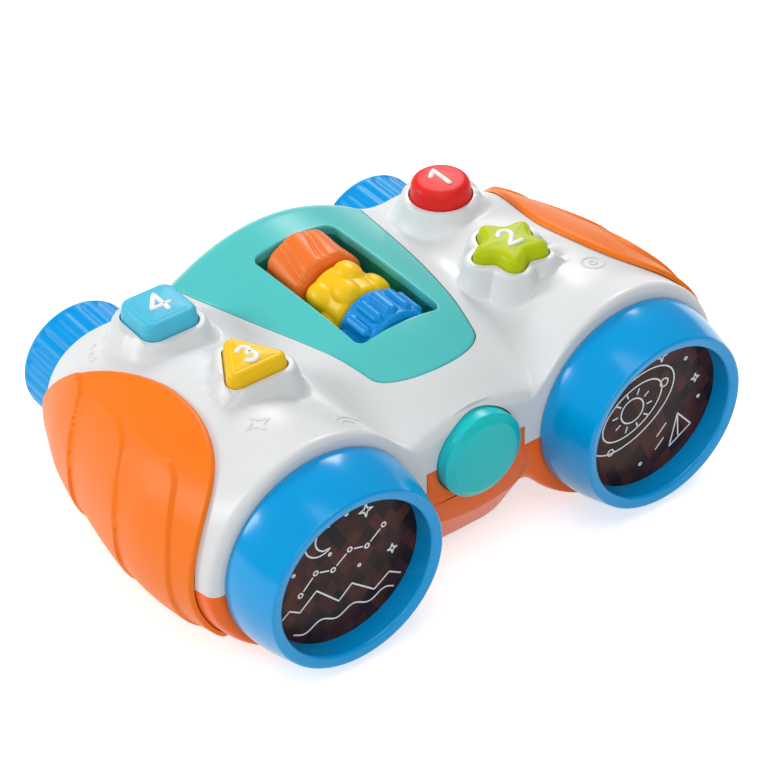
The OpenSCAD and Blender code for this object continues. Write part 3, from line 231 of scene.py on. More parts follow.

# %% [markdown]
# The lenses are dark, tinted plastic. Behind them the mirrored tunnel repeats itself, which shows as a
# dim chequer of brown and black squares. That chequer is a painted reflection: a chequer in the material's
# colour, with a different darkness in each square, stands in for the reflections instead of tracing them.

# %% Lens material with painted reflection
CHEQUER_SCALE = (290, 290, 215)
LENS_RAMP = ((0.3, (0.006, 0.005, 0.006, 1)), (0.85, (0.105, 0.026, 0.018, 1)))
LENS_MIDDLE, LENS_MIDDLE_COLOUR = 0.58, (0.042, 0.015, 0.013, 1)


# The lens's own dark tint, with a painted reflection: the mirrored tunnel's chequer in its base colour.
def painted_reflection_lens(name, turn):
    material, tree, shader = new_material(name, Roughness=0.3, Specular_IOR_Level=0.12)
    coords = tree.nodes.new("ShaderNodeTexCoord").outputs["Object"]
    mapping = tree.nodes.new("ShaderNodeMapping")
    mapping.inputs["Rotation"].default_value = (0, math.radians(turn), 0)
    mapping.inputs["Scale"].default_value = CHEQUER_SCALE
    tree.links.new(coords, mapping.inputs["Vector"])
    snap = tree.nodes.new("ShaderNodeVectorMath")
    snap.operation = "FLOOR"
    tree.links.new(mapping.outputs["Vector"], snap.inputs[0])
    cells = tree.nodes.new("ShaderNodeTexWhiteNoise")
    cells.noise_dimensions = "3D"
    tree.links.new(snap.outputs[0], cells.inputs["Vector"])
    # Painted reflection: each square of the chequer gets its own darkness, with a soft cloud over it.
    squares = math_node(tree, "MULTIPLY", cells.outputs["Value"], 0.42)
    cloud = math_node(tree, "MULTIPLY", noise_node(tree, coords, 36.0, 2.0), 0.75)
    ramp = tree.nodes.new("ShaderNodeValToRGB")
    for element, (place, colour) in zip(ramp.color_ramp.elements, LENS_RAMP):
        element.position, element.color = place, colour
    ramp.color_ramp.elements.new(LENS_MIDDLE).color = LENS_MIDDLE_COLOUR
    tree.links.new(math_node(tree, "ADD", squares, cloud), ramp.inputs["Fac"])
    tree.links.new(ramp.outputs["Color"], shader.inputs["Base Color"])
    return material


FINISH["lens_with_painted_reflection_left"] = painted_reflection_lens("lens_with_painted_reflection_left", 38)
FINISH["lens_with_painted_reflection_right"] = painted_reflection_lens("lens_with_painted_reflection_right", 31)
FINISH["clear"] = new_material("clear", Base_Color=(0.86, 0.92, 0.94, 1), Roughness=0.05,
                               Transmission_Weight=0.85, IOR=1.49)[0]
print("finishes", len(FINISH))

# %% [markdown]
# ## Making meshes
# Most pieces here are surfaces through rows of points, so a few helpers do the work: one makes a mesh
# from rows, one turns a profile round a lens axis, one sweeps a small bead along a line. All sizes are
# in millimetres, as in the drawing of the part, and become metres when the mesh is made.

# %% Mesh helpers
MERGE, FINE_MERGE, DEGENERATE = 0.002, 0.0005, 0.0005
BEAD_TIP = ((0.5, 0.86), (0.86, 0.5), (1.0, 0.08))
SOFT_EDGE = 0.25


def mesh_piece(name, points, faces):
    mesh = bpy.data.meshes.new(name)
    mesh.from_pydata((np.asarray(points, float) * MM).tolist(), [], [list(f) for f in faces])
    mesh.validate()
    piece = bpy.data.objects.new(name, mesh)
    scene.collection.objects.link(piece)
    return piece


def grid_faces(rows, columns, loop=False, start=0):
    """Quads of a grid whose points run along the columns; loop joins the last column to the first."""
    faces = []
    for i in range(rows - 1):
        a, b = start + i * columns, start + (i + 1) * columns
        for j in range(columns if loop else columns - 1):
            k = (j + 1) % columns
            faces.append((a + j, a + k, b + k, b + j))
    return faces


def tidy_mesh(piece, merge=MERGE):
    """Joins doubled points and turns all faces outward."""
    work = bmesh.new()
    work.from_mesh(piece.data)
    bmesh.ops.remove_doubles(work, verts=work.verts, dist=merge * MM)
    bmesh.ops.dissolve_degenerate(work, edges=work.edges, dist=DEGENERATE * MM)
    bmesh.ops.recalc_face_normals(work, faces=work.faces)
    work.to_mesh(piece.data)
    work.free()
    return piece


def ring_loft(name, rings, caps=True):
    """Closed solid through rings of equal numbers of points. Without caps, the rings come full circle."""
    rings = np.asarray(rings, float)
    count, size = rings.shape[:2]
    points = rings.reshape(-1, 3).tolist()
    faces = grid_faces(count, size, loop=True)
    for ring in (0, count - 1) if caps else ():
        points.append(rings[ring].mean(0).tolist())
        hub = len(points) - 1
        faces += [(ring * size + j, ring * size + (j + 1) % size, hub) for j in range(size)]
    return tidy_mesh(mesh_piece(name, points, faces))


def ring_y(x, y, z, r, angles):
    """Ring of points round an axis along Y."""
    return np.stack([x + r * np.sin(angles), np.full(len(angles), float(y)), z + r * np.cos(angles)], -1)


def lathe_y(name, profile, x, z, steps, radius=None, closed=True):
    """Turns a profile of (radius, y) round an axis along Y. radius(r, y, angle) may shape it further."""
    angles = np.linspace(0, 2 * np.pi, steps, endpoint=False)
    rings = [ring_y(x, y, z, r if radius is None else radius(r, y, angles), angles) for r, y in profile]
    return ring_loft(name, rings + rings[:1] if closed else rings, not closed)


def prism(name, points, low, high):
    """Upright solid between two heights."""
    return ring_loft(name, [np.column_stack([points, np.full(len(points), z)]) for z in (low, high)])


def rod(name, x, z, r, y0, y1):
    return lathe_y(name, [(r, y0), (r, y1)], x, z, 96, None, False)


def block(name, x0, x1, y0, y1, z0, z1):
    return prism(name, [(x0, y0), (x1, y0), (x1, y1), (x0, y1)], z0, z1)


def arc(a, b, radius, start, end, steps, second=None):
    """Points on an arc round (a, b), angles in degrees. A second radius makes it part of an ellipse."""
    other = radius if second is None else second
    return [(a + radius * math.cos(t), b + other * math.sin(t))
            for t in np.radians(np.linspace(start, end, steps))]


def dense(points, step):
    """The same line with points no further apart than step."""
    points = np.asarray(points, float)
    out = [points[0]]
    for a, b in zip(points[:-1], points[1:]):
        n = max(1, int(math.ceil(np.linalg.norm(b - a) / step)))
        out += [a + (b - a) * k / n for k in range(1, n + 1)]
    return np.array(out)


def unit(rows):
    return rows / np.linalg.norm(rows, axis=1)[:, None]


def bead(name, lines, normal, width, height, sides):
    """Raised lines: each line is a row of points, and normal gives the outward direction at a point."""
    turn = np.linspace(0, 2 * np.pi, sides, endpoint=False)
    points, faces = [], []
    for line in lines:
        line = np.asarray(line, float)
        loop = np.allclose(line[0], line[-1])
        if loop:
            line = line[:-1]
        ahead = np.roll(line, -1, 0) - np.roll(line, 1, 0)
        if not loop:
            ahead[0], ahead[-1] = line[1] - line[0], line[-1] - line[-2]
        ahead = unit(ahead)
        out = np.array([normal(p) for p in line])
        across = unit(np.cross(ahead, out))
        widths = np.ones(len(line))
        if not loop:
            head = [line[0] - ahead[0] * width * s for s, _ in BEAD_TIP[::-1]]
            tail = [line[-1] + ahead[-1] * width * s for s, _ in BEAD_TIP]
            line = np.concatenate([head, line, tail])
            tips = [w for _, w in BEAD_TIP]
            widths = np.concatenate([tips[::-1], widths, tips])
            out, across = (np.concatenate([v[:1]] * len(tips) + [v] + [v[-1:]] * len(tips))
                           for v in (out, across))
        base = len(points)
        last = base + (len(line) - 1) * sides
        for c, w, o, a in zip(line, widths, out, across):
            points += [c + a * width * w * math.cos(t) + o * height * w * math.sin(t) for t in turn]
        faces += grid_faces(len(line), sides, loop=True, start=base)
        if loop:
            faces += [(last + j, last + (j + 1) % sides, base + (j + 1) % sides, base + j)
                      for j in range(sides)]
        else:
            faces += [tuple(range(base, base + sides))[::-1], tuple(range(last, last + sides))]
    return tidy_mesh(mesh_piece(name, points, faces), FINE_MERGE)


def soften(piece):
    """A small bevel on the sharp edges of a piece."""
    edge = piece.modifiers.new("edge", "BEVEL")
    edge.width, edge.segments, edge.limit_method = SOFT_EDGE * MM, 2, "ANGLE"


def bake_modifiers(piece):
    """Replaces a piece's mesh by what its modifiers make of it."""
    bpy.context.view_layer.update()
    ready = piece.evaluated_get(bpy.context.evaluated_depsgraph_get())
    mesh = bpy.data.meshes.new_from_object(ready)
    piece.modifiers.clear()
    piece.data = mesh


def cut(piece, tools):
    """Cuts solids out of a piece."""
    for tool in tools:
        change = piece.modifiers.new("cut", "BOOLEAN")
        change.operation, change.solver, change.object = "DIFFERENCE", "EXACT", tool
    bake_modifiers(piece)
    for tool in tools:
        bpy.data.objects.remove(tool)


def hollow(piece, unwanted, thickness):
    """Opens a solid by taking away the faces that a test names, then gives the skin a wall."""
    work = bmesh.new()
    work.from_mesh(piece.data)
    gone = [f for f in work.faces if unwanted(np.array([v.co[:] for v in f.verts]) / MM)]
    bmesh.ops.delete(work, geom=gone, context="FACES")
    work.to_mesh(piece.data)
    work.free()
    skin = piece.modifiers.new("wall", "SOLIDIFY")
    skin.thickness, skin.offset = thickness * MM, -1
    bake_modifiers(piece)


def dress(piece, finish, body="housing", node=None, sharp=40):
    """Material, smooth shading with crisp edges, body and the node that a piece stands for."""
    piece.data.materials.clear()
    piece.data.materials.append(FINISH[finish])
    piece.data.shade_smooth()
    piece.data.set_sharp_from_angle(angle=math.radians(sharp))
    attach(piece, body)
    if node:
        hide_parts(node)
    print("made", piece.name, len(piece.data.polygons), "faces")


# %% [markdown]
# ## The housing's form
# Both shells and the grips share one form: two barrels joined by an arched bridge. The barrels swell
# behind the lens rims and narrow towards the eyepieces. These are the same sizes and formulas as in the
# part's drawing, here with many more points, so that the surfaces come out smooth.

# %% Form of the housing
barrel_x, front_y, rear_y = 57.0, -57.5, 57.0
SIDES = ((-1, "left"), (1, "right"))
body_length = rear_y - front_y
barrel_front_w, barrel_mid_w, barrel_rear_w, barrel_inner_w = 37.0, 41.0, 23.4, 31.0
crown_front, crown_collar, crown_mid, crown_back, crown_rear = 71.5, 64.8, 62.6, 56.0, 45.5
split_front, split_rear, foot_cut, front_round, valley_lip = 32.5, 22.5, 1.5, 3.0, 1.6
bridge_lip, bridge_front, bridge_top, bridge_rear = 54.5, 60.5, 66.2, 64.2
arch_radius, bridge_rear_round, blend = 54.0, 10.0, 12.0
belly_height, belly_flat, belly_round, belly_blend = 2.5, 13.4, 6.0, 12.0
chin_height, chin_run, chin_bow = 17.0, 8.5, 90.0
seat_gap, collar_length, low_extra = 0.3, 18.0, 2.0
squareness, front_squareness, round_front = 0.88, 1.04, 45.0
fore_y, back_y = -13.4, 29.0
panel_front_y, panel_rear_y = front_y + 17.0, rear_y - 1.5
panel_front_bow, panel_rear_bow, recess = 9.0, 2.5, 2.3
BUTTON_Z, LENS_Z, EYE_Z = 39.8, 33.3, 21.2
side_stations = [(front_y, barrel_front_w), (front_y + 0.32 * body_length, barrel_mid_w),
                 (front_y + 0.78 * body_length, (barrel_mid_w + barrel_rear_w) / 2 + 0.5),
                 (rear_y, barrel_rear_w)]
crown_stations = [(front_y, crown_front), (front_y + collar_length, crown_collar), (fore_y, crown_mid),
                  (back_y, crown_back), (rear_y, crown_rear)]
bridge_stations = [(front_y, bridge_lip), (panel_front_y, bridge_front),
                   (front_y + 0.37 * body_length, bridge_top), (rear_y, bridge_rear)]
panel_stations = [(panel_front_y, 17.0), ((panel_front_y + panel_rear_y) / 2, 28.2),
                  (panel_rear_y, 36.5)]


def rounded(d, r):
    d = np.clip(d, 0, r)
    return r - np.sqrt(np.maximum(0, r * r - (r - d) ** 2))


def curve(s, y):
    """Smooth curve through stations of (place, value)."""
    y = np.asarray(y, float)
    slopes = []
    for i in range(len(s)):
        a, b = max(0, i - 1), min(len(s) - 1, i + 1)
        slopes.append((s[b][1] - s[a][1]) / (s[b][0] - s[a][0]))
    out = np.zeros_like(y)
    for i in range(len(s) - 1):
        w = s[i + 1][0] - s[i][0]
        u = np.clip((y - s[i][0]) / w, 0, 1)
        value = ((2 * u**3 - 3 * u**2 + 1) * s[i][1] + (u**3 - 2 * u**2 + u) * w * slopes[i]
                 + (3 * u**2 - 2 * u**3) * s[i + 1][1] + (u**3 - u**2) * w * slopes[i + 1])
        out = value if i == 0 else np.where(y > s[i][0], value, out)
    return out


def soft_max(a, b, width):
    return np.maximum(a, b) + np.maximum(width - np.abs(a - b), 0) ** 2 / width / 4


def soft_min(a, b, width):
    return np.minimum(a, b) - np.maximum(width - np.abs(a - b), 0) ** 2 / width / 4


def split_z(y):
    return split_front + (split_rear - split_front) * (y - front_y) / body_length


def end_round(y):
    return rounded(y - front_y, front_round) + rounded(rear_y - y, front_round) / 2


def side_w(y, inset=0.0):
    return curve(side_stations, y) - inset - end_round(y)


def top_z(x, y, inset=0.0):
    crown = curve(crown_stations, y) - inset - end_round(y)
    near_front = np.maximum(0, 1 - (y - front_y) / collar_length) ** 2
    u = (barrel_x - np.abs(x)) / (barrel_inner_w + (barrel_front_w - barrel_inner_w) * near_front)
    hump = split_z(y) + (crown - split_z(y)) * np.sqrt(np.maximum(0, 1 - u * u))
    bridge = (curve(bridge_stations, y) - rounded(y - front_y, front_round)
              - rounded(rear_y - y, bridge_rear_round))
    return soft_max(hump, bridge - x * x / (2 * arch_radius) - inset, blend)


def bottom_z(x, y):
    u = (barrel_x - np.abs(x)) / (side_w(y) + low_extra)
    depth = split_z(y) + foot_cut
    barrel = (split_z(y) - depth * np.sqrt(np.maximum(0, 1 - u * u))
              + barrel_mid_w * np.maximum(0, u - 1))
    slope = (chin_height - belly_height) / chin_run
    belly = (belly_height + np.maximum(0, np.abs(x) - belly_flat) ** 2 / (2 * belly_round)
             + slope * np.maximum(0, front_y + chin_run + x * x / (2 * chin_bow) - y)
             + rounded(rear_y - y, front_round))
    return np.minimum(split_z(y) - valley_lip, np.maximum(0, soft_min(barrel, belly, belly_blend)))


def corner_power(y):
    near_front = np.maximum(0, 1 - (y - front_y) / round_front) ** 2
    return squareness + (front_squareness - squareness) * near_front


def quarter(y, angle, inset=0.0):
    """Outer quarter of a barrel at an angle in degrees above or below the split: (x, z)."""
    c = np.cos(np.radians(angle)) ** corner_power(y)
    s = np.abs(np.sin(np.radians(angle))) ** corner_power(y)
    upper = split_z(y) + (top_z(barrel_x, y, inset) - split_z(y)) * s
    lower = np.maximum(inset, split_z(y) - (split_z(y) + foot_cut - inset) * s)
    return barrel_x + side_w(y, inset) * c, np.where(np.asarray(angle) >= 0, upper, lower)


def round_end(d, r):
    return np.where(d >= r, 1, np.sqrt(np.maximum(0.01, 1 - (1 - np.clip(d, 0, r) / r) ** 2)))


def panel_w(y, margin=0.0):
    return (curve(panel_stations, y) * round_end(y - panel_front_y + margin, panel_front_bow)
            * round_end(panel_rear_y - y + margin, panel_rear_bow) + margin)


print("crown between the buttons", round(float(top_z(barrel_x, fore_y)), 2), "mm")

# %% [markdown]
# ## Push buttons
# Four buttons of different shape stand in collars on the upper shell: a disc, a star, a triangle and a
# square. Each is a stack of outlines: straight sides that lean in a little, a rounded shoulder, a
# shallow step and a gently domed top. The raised numerals are plain beads. A button rides on its own
# body; on the toy it goes down 2.5 mm.

# %% Outlines of the buttons
BUTTONS = {
    "round": dict(place=(53.2, back_y), collar=62.0, rise=6.3, wall=2.6, foot=4.5, finish="red"),
    "star": dict(place=(47.1, fore_y), collar=66.6, rise=4.6, wall=3.6, foot=2.4, finish="green"),
    "triangle": dict(place=(-48.6, -12.2), collar=66.6, rise=4.6, wall=3.0, foot=3.4, finish="yellow"),
    "square": dict(place=(-53.2, back_y), collar=62.0, rise=5.6, wall=2.6, foot=4.5,
                   finish="light_blue"),
}
OUTLINE_POINTS, HALVINGS, FAR = 144, 40, 1e9
turns = np.linspace(0, 2 * np.pi, OUTLINE_POINTS, endpoint=False)
directions = np.stack([np.cos(turns), np.sin(turns)], -1)


def edge_at(inside, reach):
    """Distance at which a test stops being true, found by halving."""
    low, high = 0.0, reach
    for _ in range(HALVINGS):
        mid = (low + high) / 2
        low, high = (mid, high) if inside(mid) else (low, mid)
    return low


def polar_polygon(corners, corner_r, turn, sides):
    """Radius at each angle of a polygon with round corners, by the distance to its edges."""
    k = np.radians(turn) + 2 * np.pi * np.arange(sides) / sides
    starts = corners * np.stack([np.cos(k), np.sin(k)], -1)
    edges = np.roll(starts, -1, 0) - starts

    def inside(p):
        q = p - starts
        u = np.clip((q * edges).sum(1) / (edges**2).sum(1), 0, 1)
        gap = np.linalg.norm(q - u[:, None] * edges, axis=1).min()
        return gap < corner_r or (edges[:, 0] * q[:, 1] - edges[:, 1] * q[:, 0] > 0).all()

    return np.array([edge_at(lambda r: inside(r * d), 40.0) for d in directions])


OUTLINES = {"round": np.full(OUTLINE_POINTS, 10.0),
            "star": 12.4 - 3.6 * (1 - np.cos(5 * (turns - math.radians(-117)))) / 2,
            "triangle": polar_polygon(8.1, 3.2, 90, 3),
            "square": polar_polygon(6.1 * math.sqrt(2) - 1, 4.3, 45, 4)}


def outline(kind, grow=0.0):
    """Outline of a button, grown along its normals by a margin."""
    p = OUTLINES[kind][:, None] * directions
    along = np.roll(p, -1, 0) - np.roll(p, 1, 0)
    return p + unit(np.stack([along[:, 1], -along[:, 0]], -1)) * grow


def outline_distance(kind, x, y):
    """Distance outside a button's outline, less than 0 inside."""
    p = outline(kind)
    q = np.stack([x, y], -1) - BUTTONS[kind]["place"]
    near = np.full(len(q), FAR)
    inside = np.zeros(len(q), bool)
    for a, b in zip(p, np.roll(p, -1, 0)):
        edge = b - a
        u = np.clip(((q - a) @ edge) / (edge @ edge), 0, 1)
        near = np.minimum(near, np.hypot(*(q - a - u[:, None] * edge).T))
        cross = (a[1] > q[:, 1]) != (b[1] > q[:, 1])
        with np.errstate(divide="ignore", invalid="ignore"):
            inside ^= cross & (q[:, 0] < (b[0] - a[0]) * (q[:, 1] - a[1]) / (b[1] - a[1]) + a[0])
    return np.where(inside, -near, near)


print("outlines", {k: round(float(v.max()), 2) for k, v in OUTLINES.items()})

# %% Buttons
KEEPER, KEEPER_T, ROOF_T = 1.4, 1.6, 1.6
TOP_LEAN, STEP_IN, DOME = 0.45, 0.5, 0.42
NUMERALS = {
    "round": (8.6, [[(-0.26, 0.22), (0.06, 0.5), (0.06, -0.5)]]),
    "star": (7.4, [arc(0, 0.22, 0.29, 165, -35, 16) + [(-0.29, -0.48), (0.33, -0.48)]]),
    "triangle": (7.0, [arc(-0.02, 0.24, 0.26, 150, -80, 16), arc(-0.02, -0.22, 0.29, 80, -150, 18)]),
    "square": (8.6, [[(0.14, -0.5), (0.14, 0.5), (-0.36, -0.2), (0.36, -0.2)]]),
}
NUMERAL_UP, NUMERAL_SUNK, NUMERAL_STEP = 0.3, 0.12, 0.7


def level_ring(flat, place, z):
    return np.column_stack([flat + place, np.full(len(flat), z)])


def push_button(kind, spec):
    x, y = spec["place"]
    collar, top = spec["collar"], spec["collar"] + spec["rise"]
    rim_top = collar - ROOF_T - seat_gap
    creased = kind in ("triangle", "square")
    shoulder = 1.9 if creased else 2.7
    inner = -TOP_LEAN - shoulder - STEP_IN
    stack = [(KEEPER, rim_top - KEEPER_T), (KEEPER, rim_top), (0.0, rim_top), (-0.05, collar)]
    stack += arc(-TOP_LEAN - shoulder, top - TOP_LEAN - shoulder, shoulder, 0, 90, 9)
    stack += [(inner + 0.2, top - 0.5), (inner, top - DOME)] if creased else [(inner, top - 0.38)]
    rings = [level_ring(outline(kind, grow), (x, y), z) for grow, z in stack]
    base = outline(kind, inner)
    rings += [level_ring(base * share, (x, y), top - DOME + DOME * (1 - share * share))
              for share in (0.85, 0.65, 0.45, 0.25, 0.1)]
    body = kind + "_button"
    dress(ring_loft(kind + "_cap", rings), spec["finish"], body, body, 32)
    size, strokes = NUMERALS[kind]
    lines = [level_ring(dense(np.array(stroke) * size, NUMERAL_STEP), (x, y + NUMERAL_UP),
                        top - NUMERAL_SUNK) for stroke in strokes]
    numeral = bead(kind + "_numeral", lines, lambda p: np.array([0, 0, 1.0]), 0.86, 0.5, 10)
    dress(numeral, "print_white", body, sharp=50)


for kind, spec in BUTTONS.items():
    push_button(kind, spec)

# %% [markdown]
# ## Upper shell
# The white shell is one moulding. Its collars rise from it in soft flares, so they are part of the same
# surface: a height map over the form, where each button's outline lifts the surface. The columns of
# points follow the edge of the top panel, which gives its recess a crisp edge. The form is first a
# closed solid. The holes are cut into it, then it is opened below and given a wall.

# %% Upper shell
COLLAR_LIP, COLLAR_EDGE, COLLAR_REACH = 1.4, 1.4, 24
UPPER_STEP, LOWER_STEP, UPPER_WALL, LOWER_WALL = 0.8, 1.2, 1.8, 1.6
BUTTON_ROWS = (-33, 6)
END_CUT, HOLE_DEEP, BEYOND = 2.0, 1.75, 2
FRONT_HOLE_R, RIM_HOLE_R, NECK_HOLE_R = 14.7, 30.15, 17.2
TRAY_W, TRAY_FRONT, TRAY_REAR = 17.4, -23.4, 36.4


def with_collars(x, y, z):
    """Heights of the shell with the collars: a flat lip, a rounded edge, a wall that flares at its foot."""
    z = z.copy()
    for kind, spec in BUTTONS.items():
        cx, cy = spec["place"]
        near = np.hypot(x - cx, y - cy) < COLLAR_REACH
        if near.any():
            far = outline_distance(kind, x[near], np.full(near.sum(), y))
            d = far - COLLAR_LIP
            fall = COLLAR_EDGE - np.sqrt(np.maximum(0, COLLAR_EDGE**2 - np.clip(d, 0, COLLAR_EDGE)**2))
            collar = spec["collar"] - fall - np.maximum(0, d - COLLAR_EDGE) * spec["wall"]
            raised = soft_max(z[near], collar, spec["foot"])
            z[near] = np.where(far < COLLAR_LIP * 0.9, spec["collar"], raised)
    return z


def eased(length, count):
    """Places from 0 to a length that start close together."""
    return length * (1 - np.cos(np.linspace(0, np.pi / 2, count)))


def shell_rows(step):
    """Places along Y: close together at the rounded ends and at the panel's ends."""
    ends = eased(front_round, 8)
    rows = np.concatenate([front_y + ends,
                           np.arange(front_y + front_round, rear_y - front_round, step),
                           np.arange(*BUTTON_ROWS, step / 2) if step < 1 else [],
                           panel_front_y - 0.31 + eased(panel_front_bow, 14), [panel_front_y - 0.3],
                           panel_rear_y + 0.31 - eased(panel_rear_bow, 7), rear_y - ends])
    rows = np.unique(np.round(rows, 3))
    return rows[np.concatenate([[True], np.diff(rows) > 0.05])]


def upper_section(y):
    """Half of a cross-section, from the split over the barrel and into the panel's recess."""
    x, z = quarter(y, np.linspace(0, 90, 30))
    w = float(panel_w(y, seat_gap))
    xs = np.linspace(barrel_x, w, 80)[1:]
    x, z = np.concatenate([x, xs]), np.concatenate([z, top_z(xs, y)])
    sunk = recess if panel_front_y - seat_gap < y < panel_rear_y + seat_gap else 0.0
    xm = w * (1 - np.linspace(0.004, 1, 15))
    return np.concatenate([x, xm]), np.concatenate([z, top_z(xm, y) - sunk]), len(x)


def mirrored(x, y, right_z, left_z):
    """Whole cross-section, from the split on the right over the middle to the split on the left."""
    right, left = (np.column_stack([side * x, np.full(len(x), y), z])
                   for side, z in ((1, right_z), (-1, left_z)))
    return np.concatenate([right, left[::-1][1:]])


def solid_half(name, sections):
    """Closed solid through the sections of one half of the housing, with flat ends in strips."""
    sections = np.asarray(sections, float)
    rows, columns = sections.shape[:2]
    last = columns - 1
    points = sections.reshape(-1, 3).tolist()
    faces = grid_faces(rows, columns)
    for i in range(1, rows - 2):
        a, b = i * columns, (i + 1) * columns
        faces.append((a, b, b + last, a + last))
    for row, beside in ((0, 1), (rows - 1, rows - 2)):
        first = row * columns
        chain = [first]
        for p in sections[row, 1:last]:
            points.append([p[0], p[1], sections[row, 0, 2]])
            chain.append(len(points) - 1)
        chain.append(first + last)
        for j in range(last):
            faces.append(tuple(dict.fromkeys((first + j, first + j + 1, chain[j + 1], chain[j]))))
        faces.append(tuple(chain + [beside * columns + last, beside * columns]))
    return tidy_mesh(mesh_piece(name, points, faces), FINE_MERGE)


def end_holes():
    """Tools for the holes in the end walls: the front button's, then the rims' and eyepieces'."""
    front, rear = (front_y - BEYOND, front_y + END_CUT), (rear_y - END_CUT, rear_y + BEYOND)
    tools = [rod("hole_front", 0, BUTTON_Z, FRONT_HOLE_R, *front)]
    for side, _ in SIDES:
        tools.append(rod("hole_rim", side * barrel_x, LENS_Z, RIM_HOLE_R, *front))
        tools.append(rod("hole_neck", side * barrel_x, EYE_Z, NECK_HOLE_R, *rear))
    return tools


def same(values, level):
    return np.abs(values - level).max() < 0.02


def opening(p):
    """Whether a face lies on the split or on the floor of a hole in an end wall."""
    return (same(p[:, 2], split_z(p[:, 1])) or same(p[:, 1], front_y + END_CUT)
            or same(p[:, 1], rear_y - END_CUT))


def upper_unwanted(p):
    x, y = p[:, 0].mean(), p[:, 1].mean()
    if opening(p) or abs(x) < TRAY_W and TRAY_FRONT < y < TRAY_REAR:
        return True
    return any(same(p[:, 2], s["collar"] - HOLE_DEEP)
               and math.hypot(x - s["place"][0], y - s["place"][1]) < 11 for s in BUTTONS.values())


sections = []
for y in shell_rows(UPPER_STEP):
    x, z, rim = upper_section(y)
    right, left = (np.concatenate([with_collars(side * x[:rim], y, z[:rim]), z[rim:]])
                   for side in (1, -1))
    sections.append(mirrored(x, y, right, left))
upper = solid_half("upper_shell", sections)
tools = [prism("hole_" + k, outline(k, 0.4) + s["place"], s["collar"] - HOLE_DEEP, s["collar"] + BEYOND)
         for k, s in BUTTONS.items()]
front_hole, *other_holes = end_holes()
tab_slot = block("hole_tab", -18.4, 18.4, front_y - BEYOND, front_y + END_CUT, 20, 39.6)
cut(upper, tools + [front_hole, tab_slot] + other_holes)
hollow(upper, upper_unwanted, UPPER_WALL)
dress(upper, "white_shell", node="top_shell")

# %% [markdown]
# ## Lower shell
# The orange lower shell carries the toy on two flats under the barrels. Between them a belly hangs down
# to just above the table, with a chin at the front that slopes back under the front button. A tab of
# this shell rises round that button. The door's seat, the grille, the screw wells and the switch's slot
# are cut from underneath.

# %% Lower shell
BELOW_ZERO = 1e-6
DOOR_GAP, DOOR_SEAT_Z, INNER_FLOOR = 0.35, 4.35, 6.0
SPEAKER_Y, GRILLE_STEP, GRILLE_R, GRILLE_RINGS = -35.5, 4.0, 1.2, 3
WELL_X, WELL_R, WELL_TOP = 37.5, 3.3, 14


def lower_section(y):
    """Half of a cross-section, from the split under the barrel to the middle of the belly."""
    x, z = quarter(y, np.maximum(np.linspace(0, -90, 30) - BELOW_ZERO, -90))
    xs = np.linspace(barrel_x, 0, 60)[1:]
    return np.concatenate([x, xs]), np.concatenate([z, bottom_z(xs, y)])


sections = []
for y in shell_rows(LOWER_STEP):
    x, z = lower_section(y)
    sections.append(mirrored(x, y, z, z))
lower = solid_half("lower_shell", sections)
door_low, door_high = (np.array(v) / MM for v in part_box("battery_door"))
tools = [block("seat_door", door_low[0] - DOOR_GAP, door_high[0] + DOOR_GAP,
               door_low[1] - DOOR_GAP, door_high[1] + DOOR_GAP, -2, DOOR_SEAT_Z),
         block("slot_knob", -4.4, 4.4, 43.6, 48.4, -2, INNER_FLOOR)] + end_holes()
circle = np.array(arc(0, 0, 1.0, 0, 345, 24))
for k in range(GRILLE_RINGS):
    for a in np.linspace(0, 2 * math.pi, max(1, 6 * k), endpoint=False):
        spot = (GRILLE_STEP * k * math.cos(a), SPEAKER_Y + GRILLE_STEP * k * math.sin(a))
        tools.append(prism("hole_grille", circle * GRILLE_R + spot, -1, INNER_FLOOR))
for side, _ in SIDES:
    for y in (front_y + 20, rear_y - 13):
        tools.append(prism("well", circle * WELL_R + (side * WELL_X, y), -1, WELL_TOP))
cut(lower, tools)
hollow(lower, lambda p: opening(p) or same(p[:, 2], INNER_FLOOR), LOWER_WALL)
dress(lower, "orange_shell", node="bottom_shell")

# %% [markdown]
# The tab is a flat plate with soft edges, let into the white wall, with the hole of the front button
# in it.

# %% Tab round the front button
TAB_W, TAB_TOP, TAB_LOW, TAB_CORNER, TAB_HOLE_R = 18.15, 39.4, 26.0, 0.5, 14.75
hole_end = math.degrees(math.asin((TAB_TOP - BUTTON_Z) / TAB_HOLE_R))
tab_line = [(-TAB_W, TAB_LOW), (-TAB_W, TAB_TOP - TAB_CORNER), (-TAB_W + TAB_CORNER, TAB_TOP)]
tab_line += arc(0, BUTTON_Z, TAB_HOLE_R, -180 - hole_end, hole_end, 60)
tab_line += [(TAB_W - TAB_CORNER, TAB_TOP), (TAB_W, TAB_TOP - TAB_CORNER), (TAB_W, TAB_LOW)]
tab_points = [(x, y, z) for y in (front_y - 0.02, front_y + 2.2) for x, z in tab_line]
n = len(tab_line)
tab_faces = [tuple(range(n)), tuple(range(2 * n - 1, n - 1, -1))]
tab_faces += [(i, (i + 1) % n, n + (i + 1) % n, n + i) for i in range(n)]
tab = tidy_mesh(mesh_piece("front_tab", tab_points, tab_faces))
soften(tab)
bake_modifiers(tab)
dress(tab, "orange_shell", sharp=38)

# %% [markdown]
# ## Grips
# A grip is a skin over the outside of a barrel. Three low pads mark where the fingers go: each pad ends
# towards the lens in a crisp little step, has a round top and fades out towards the eyepiece. The pads
# are real height in the mesh, because their steps catch the light.

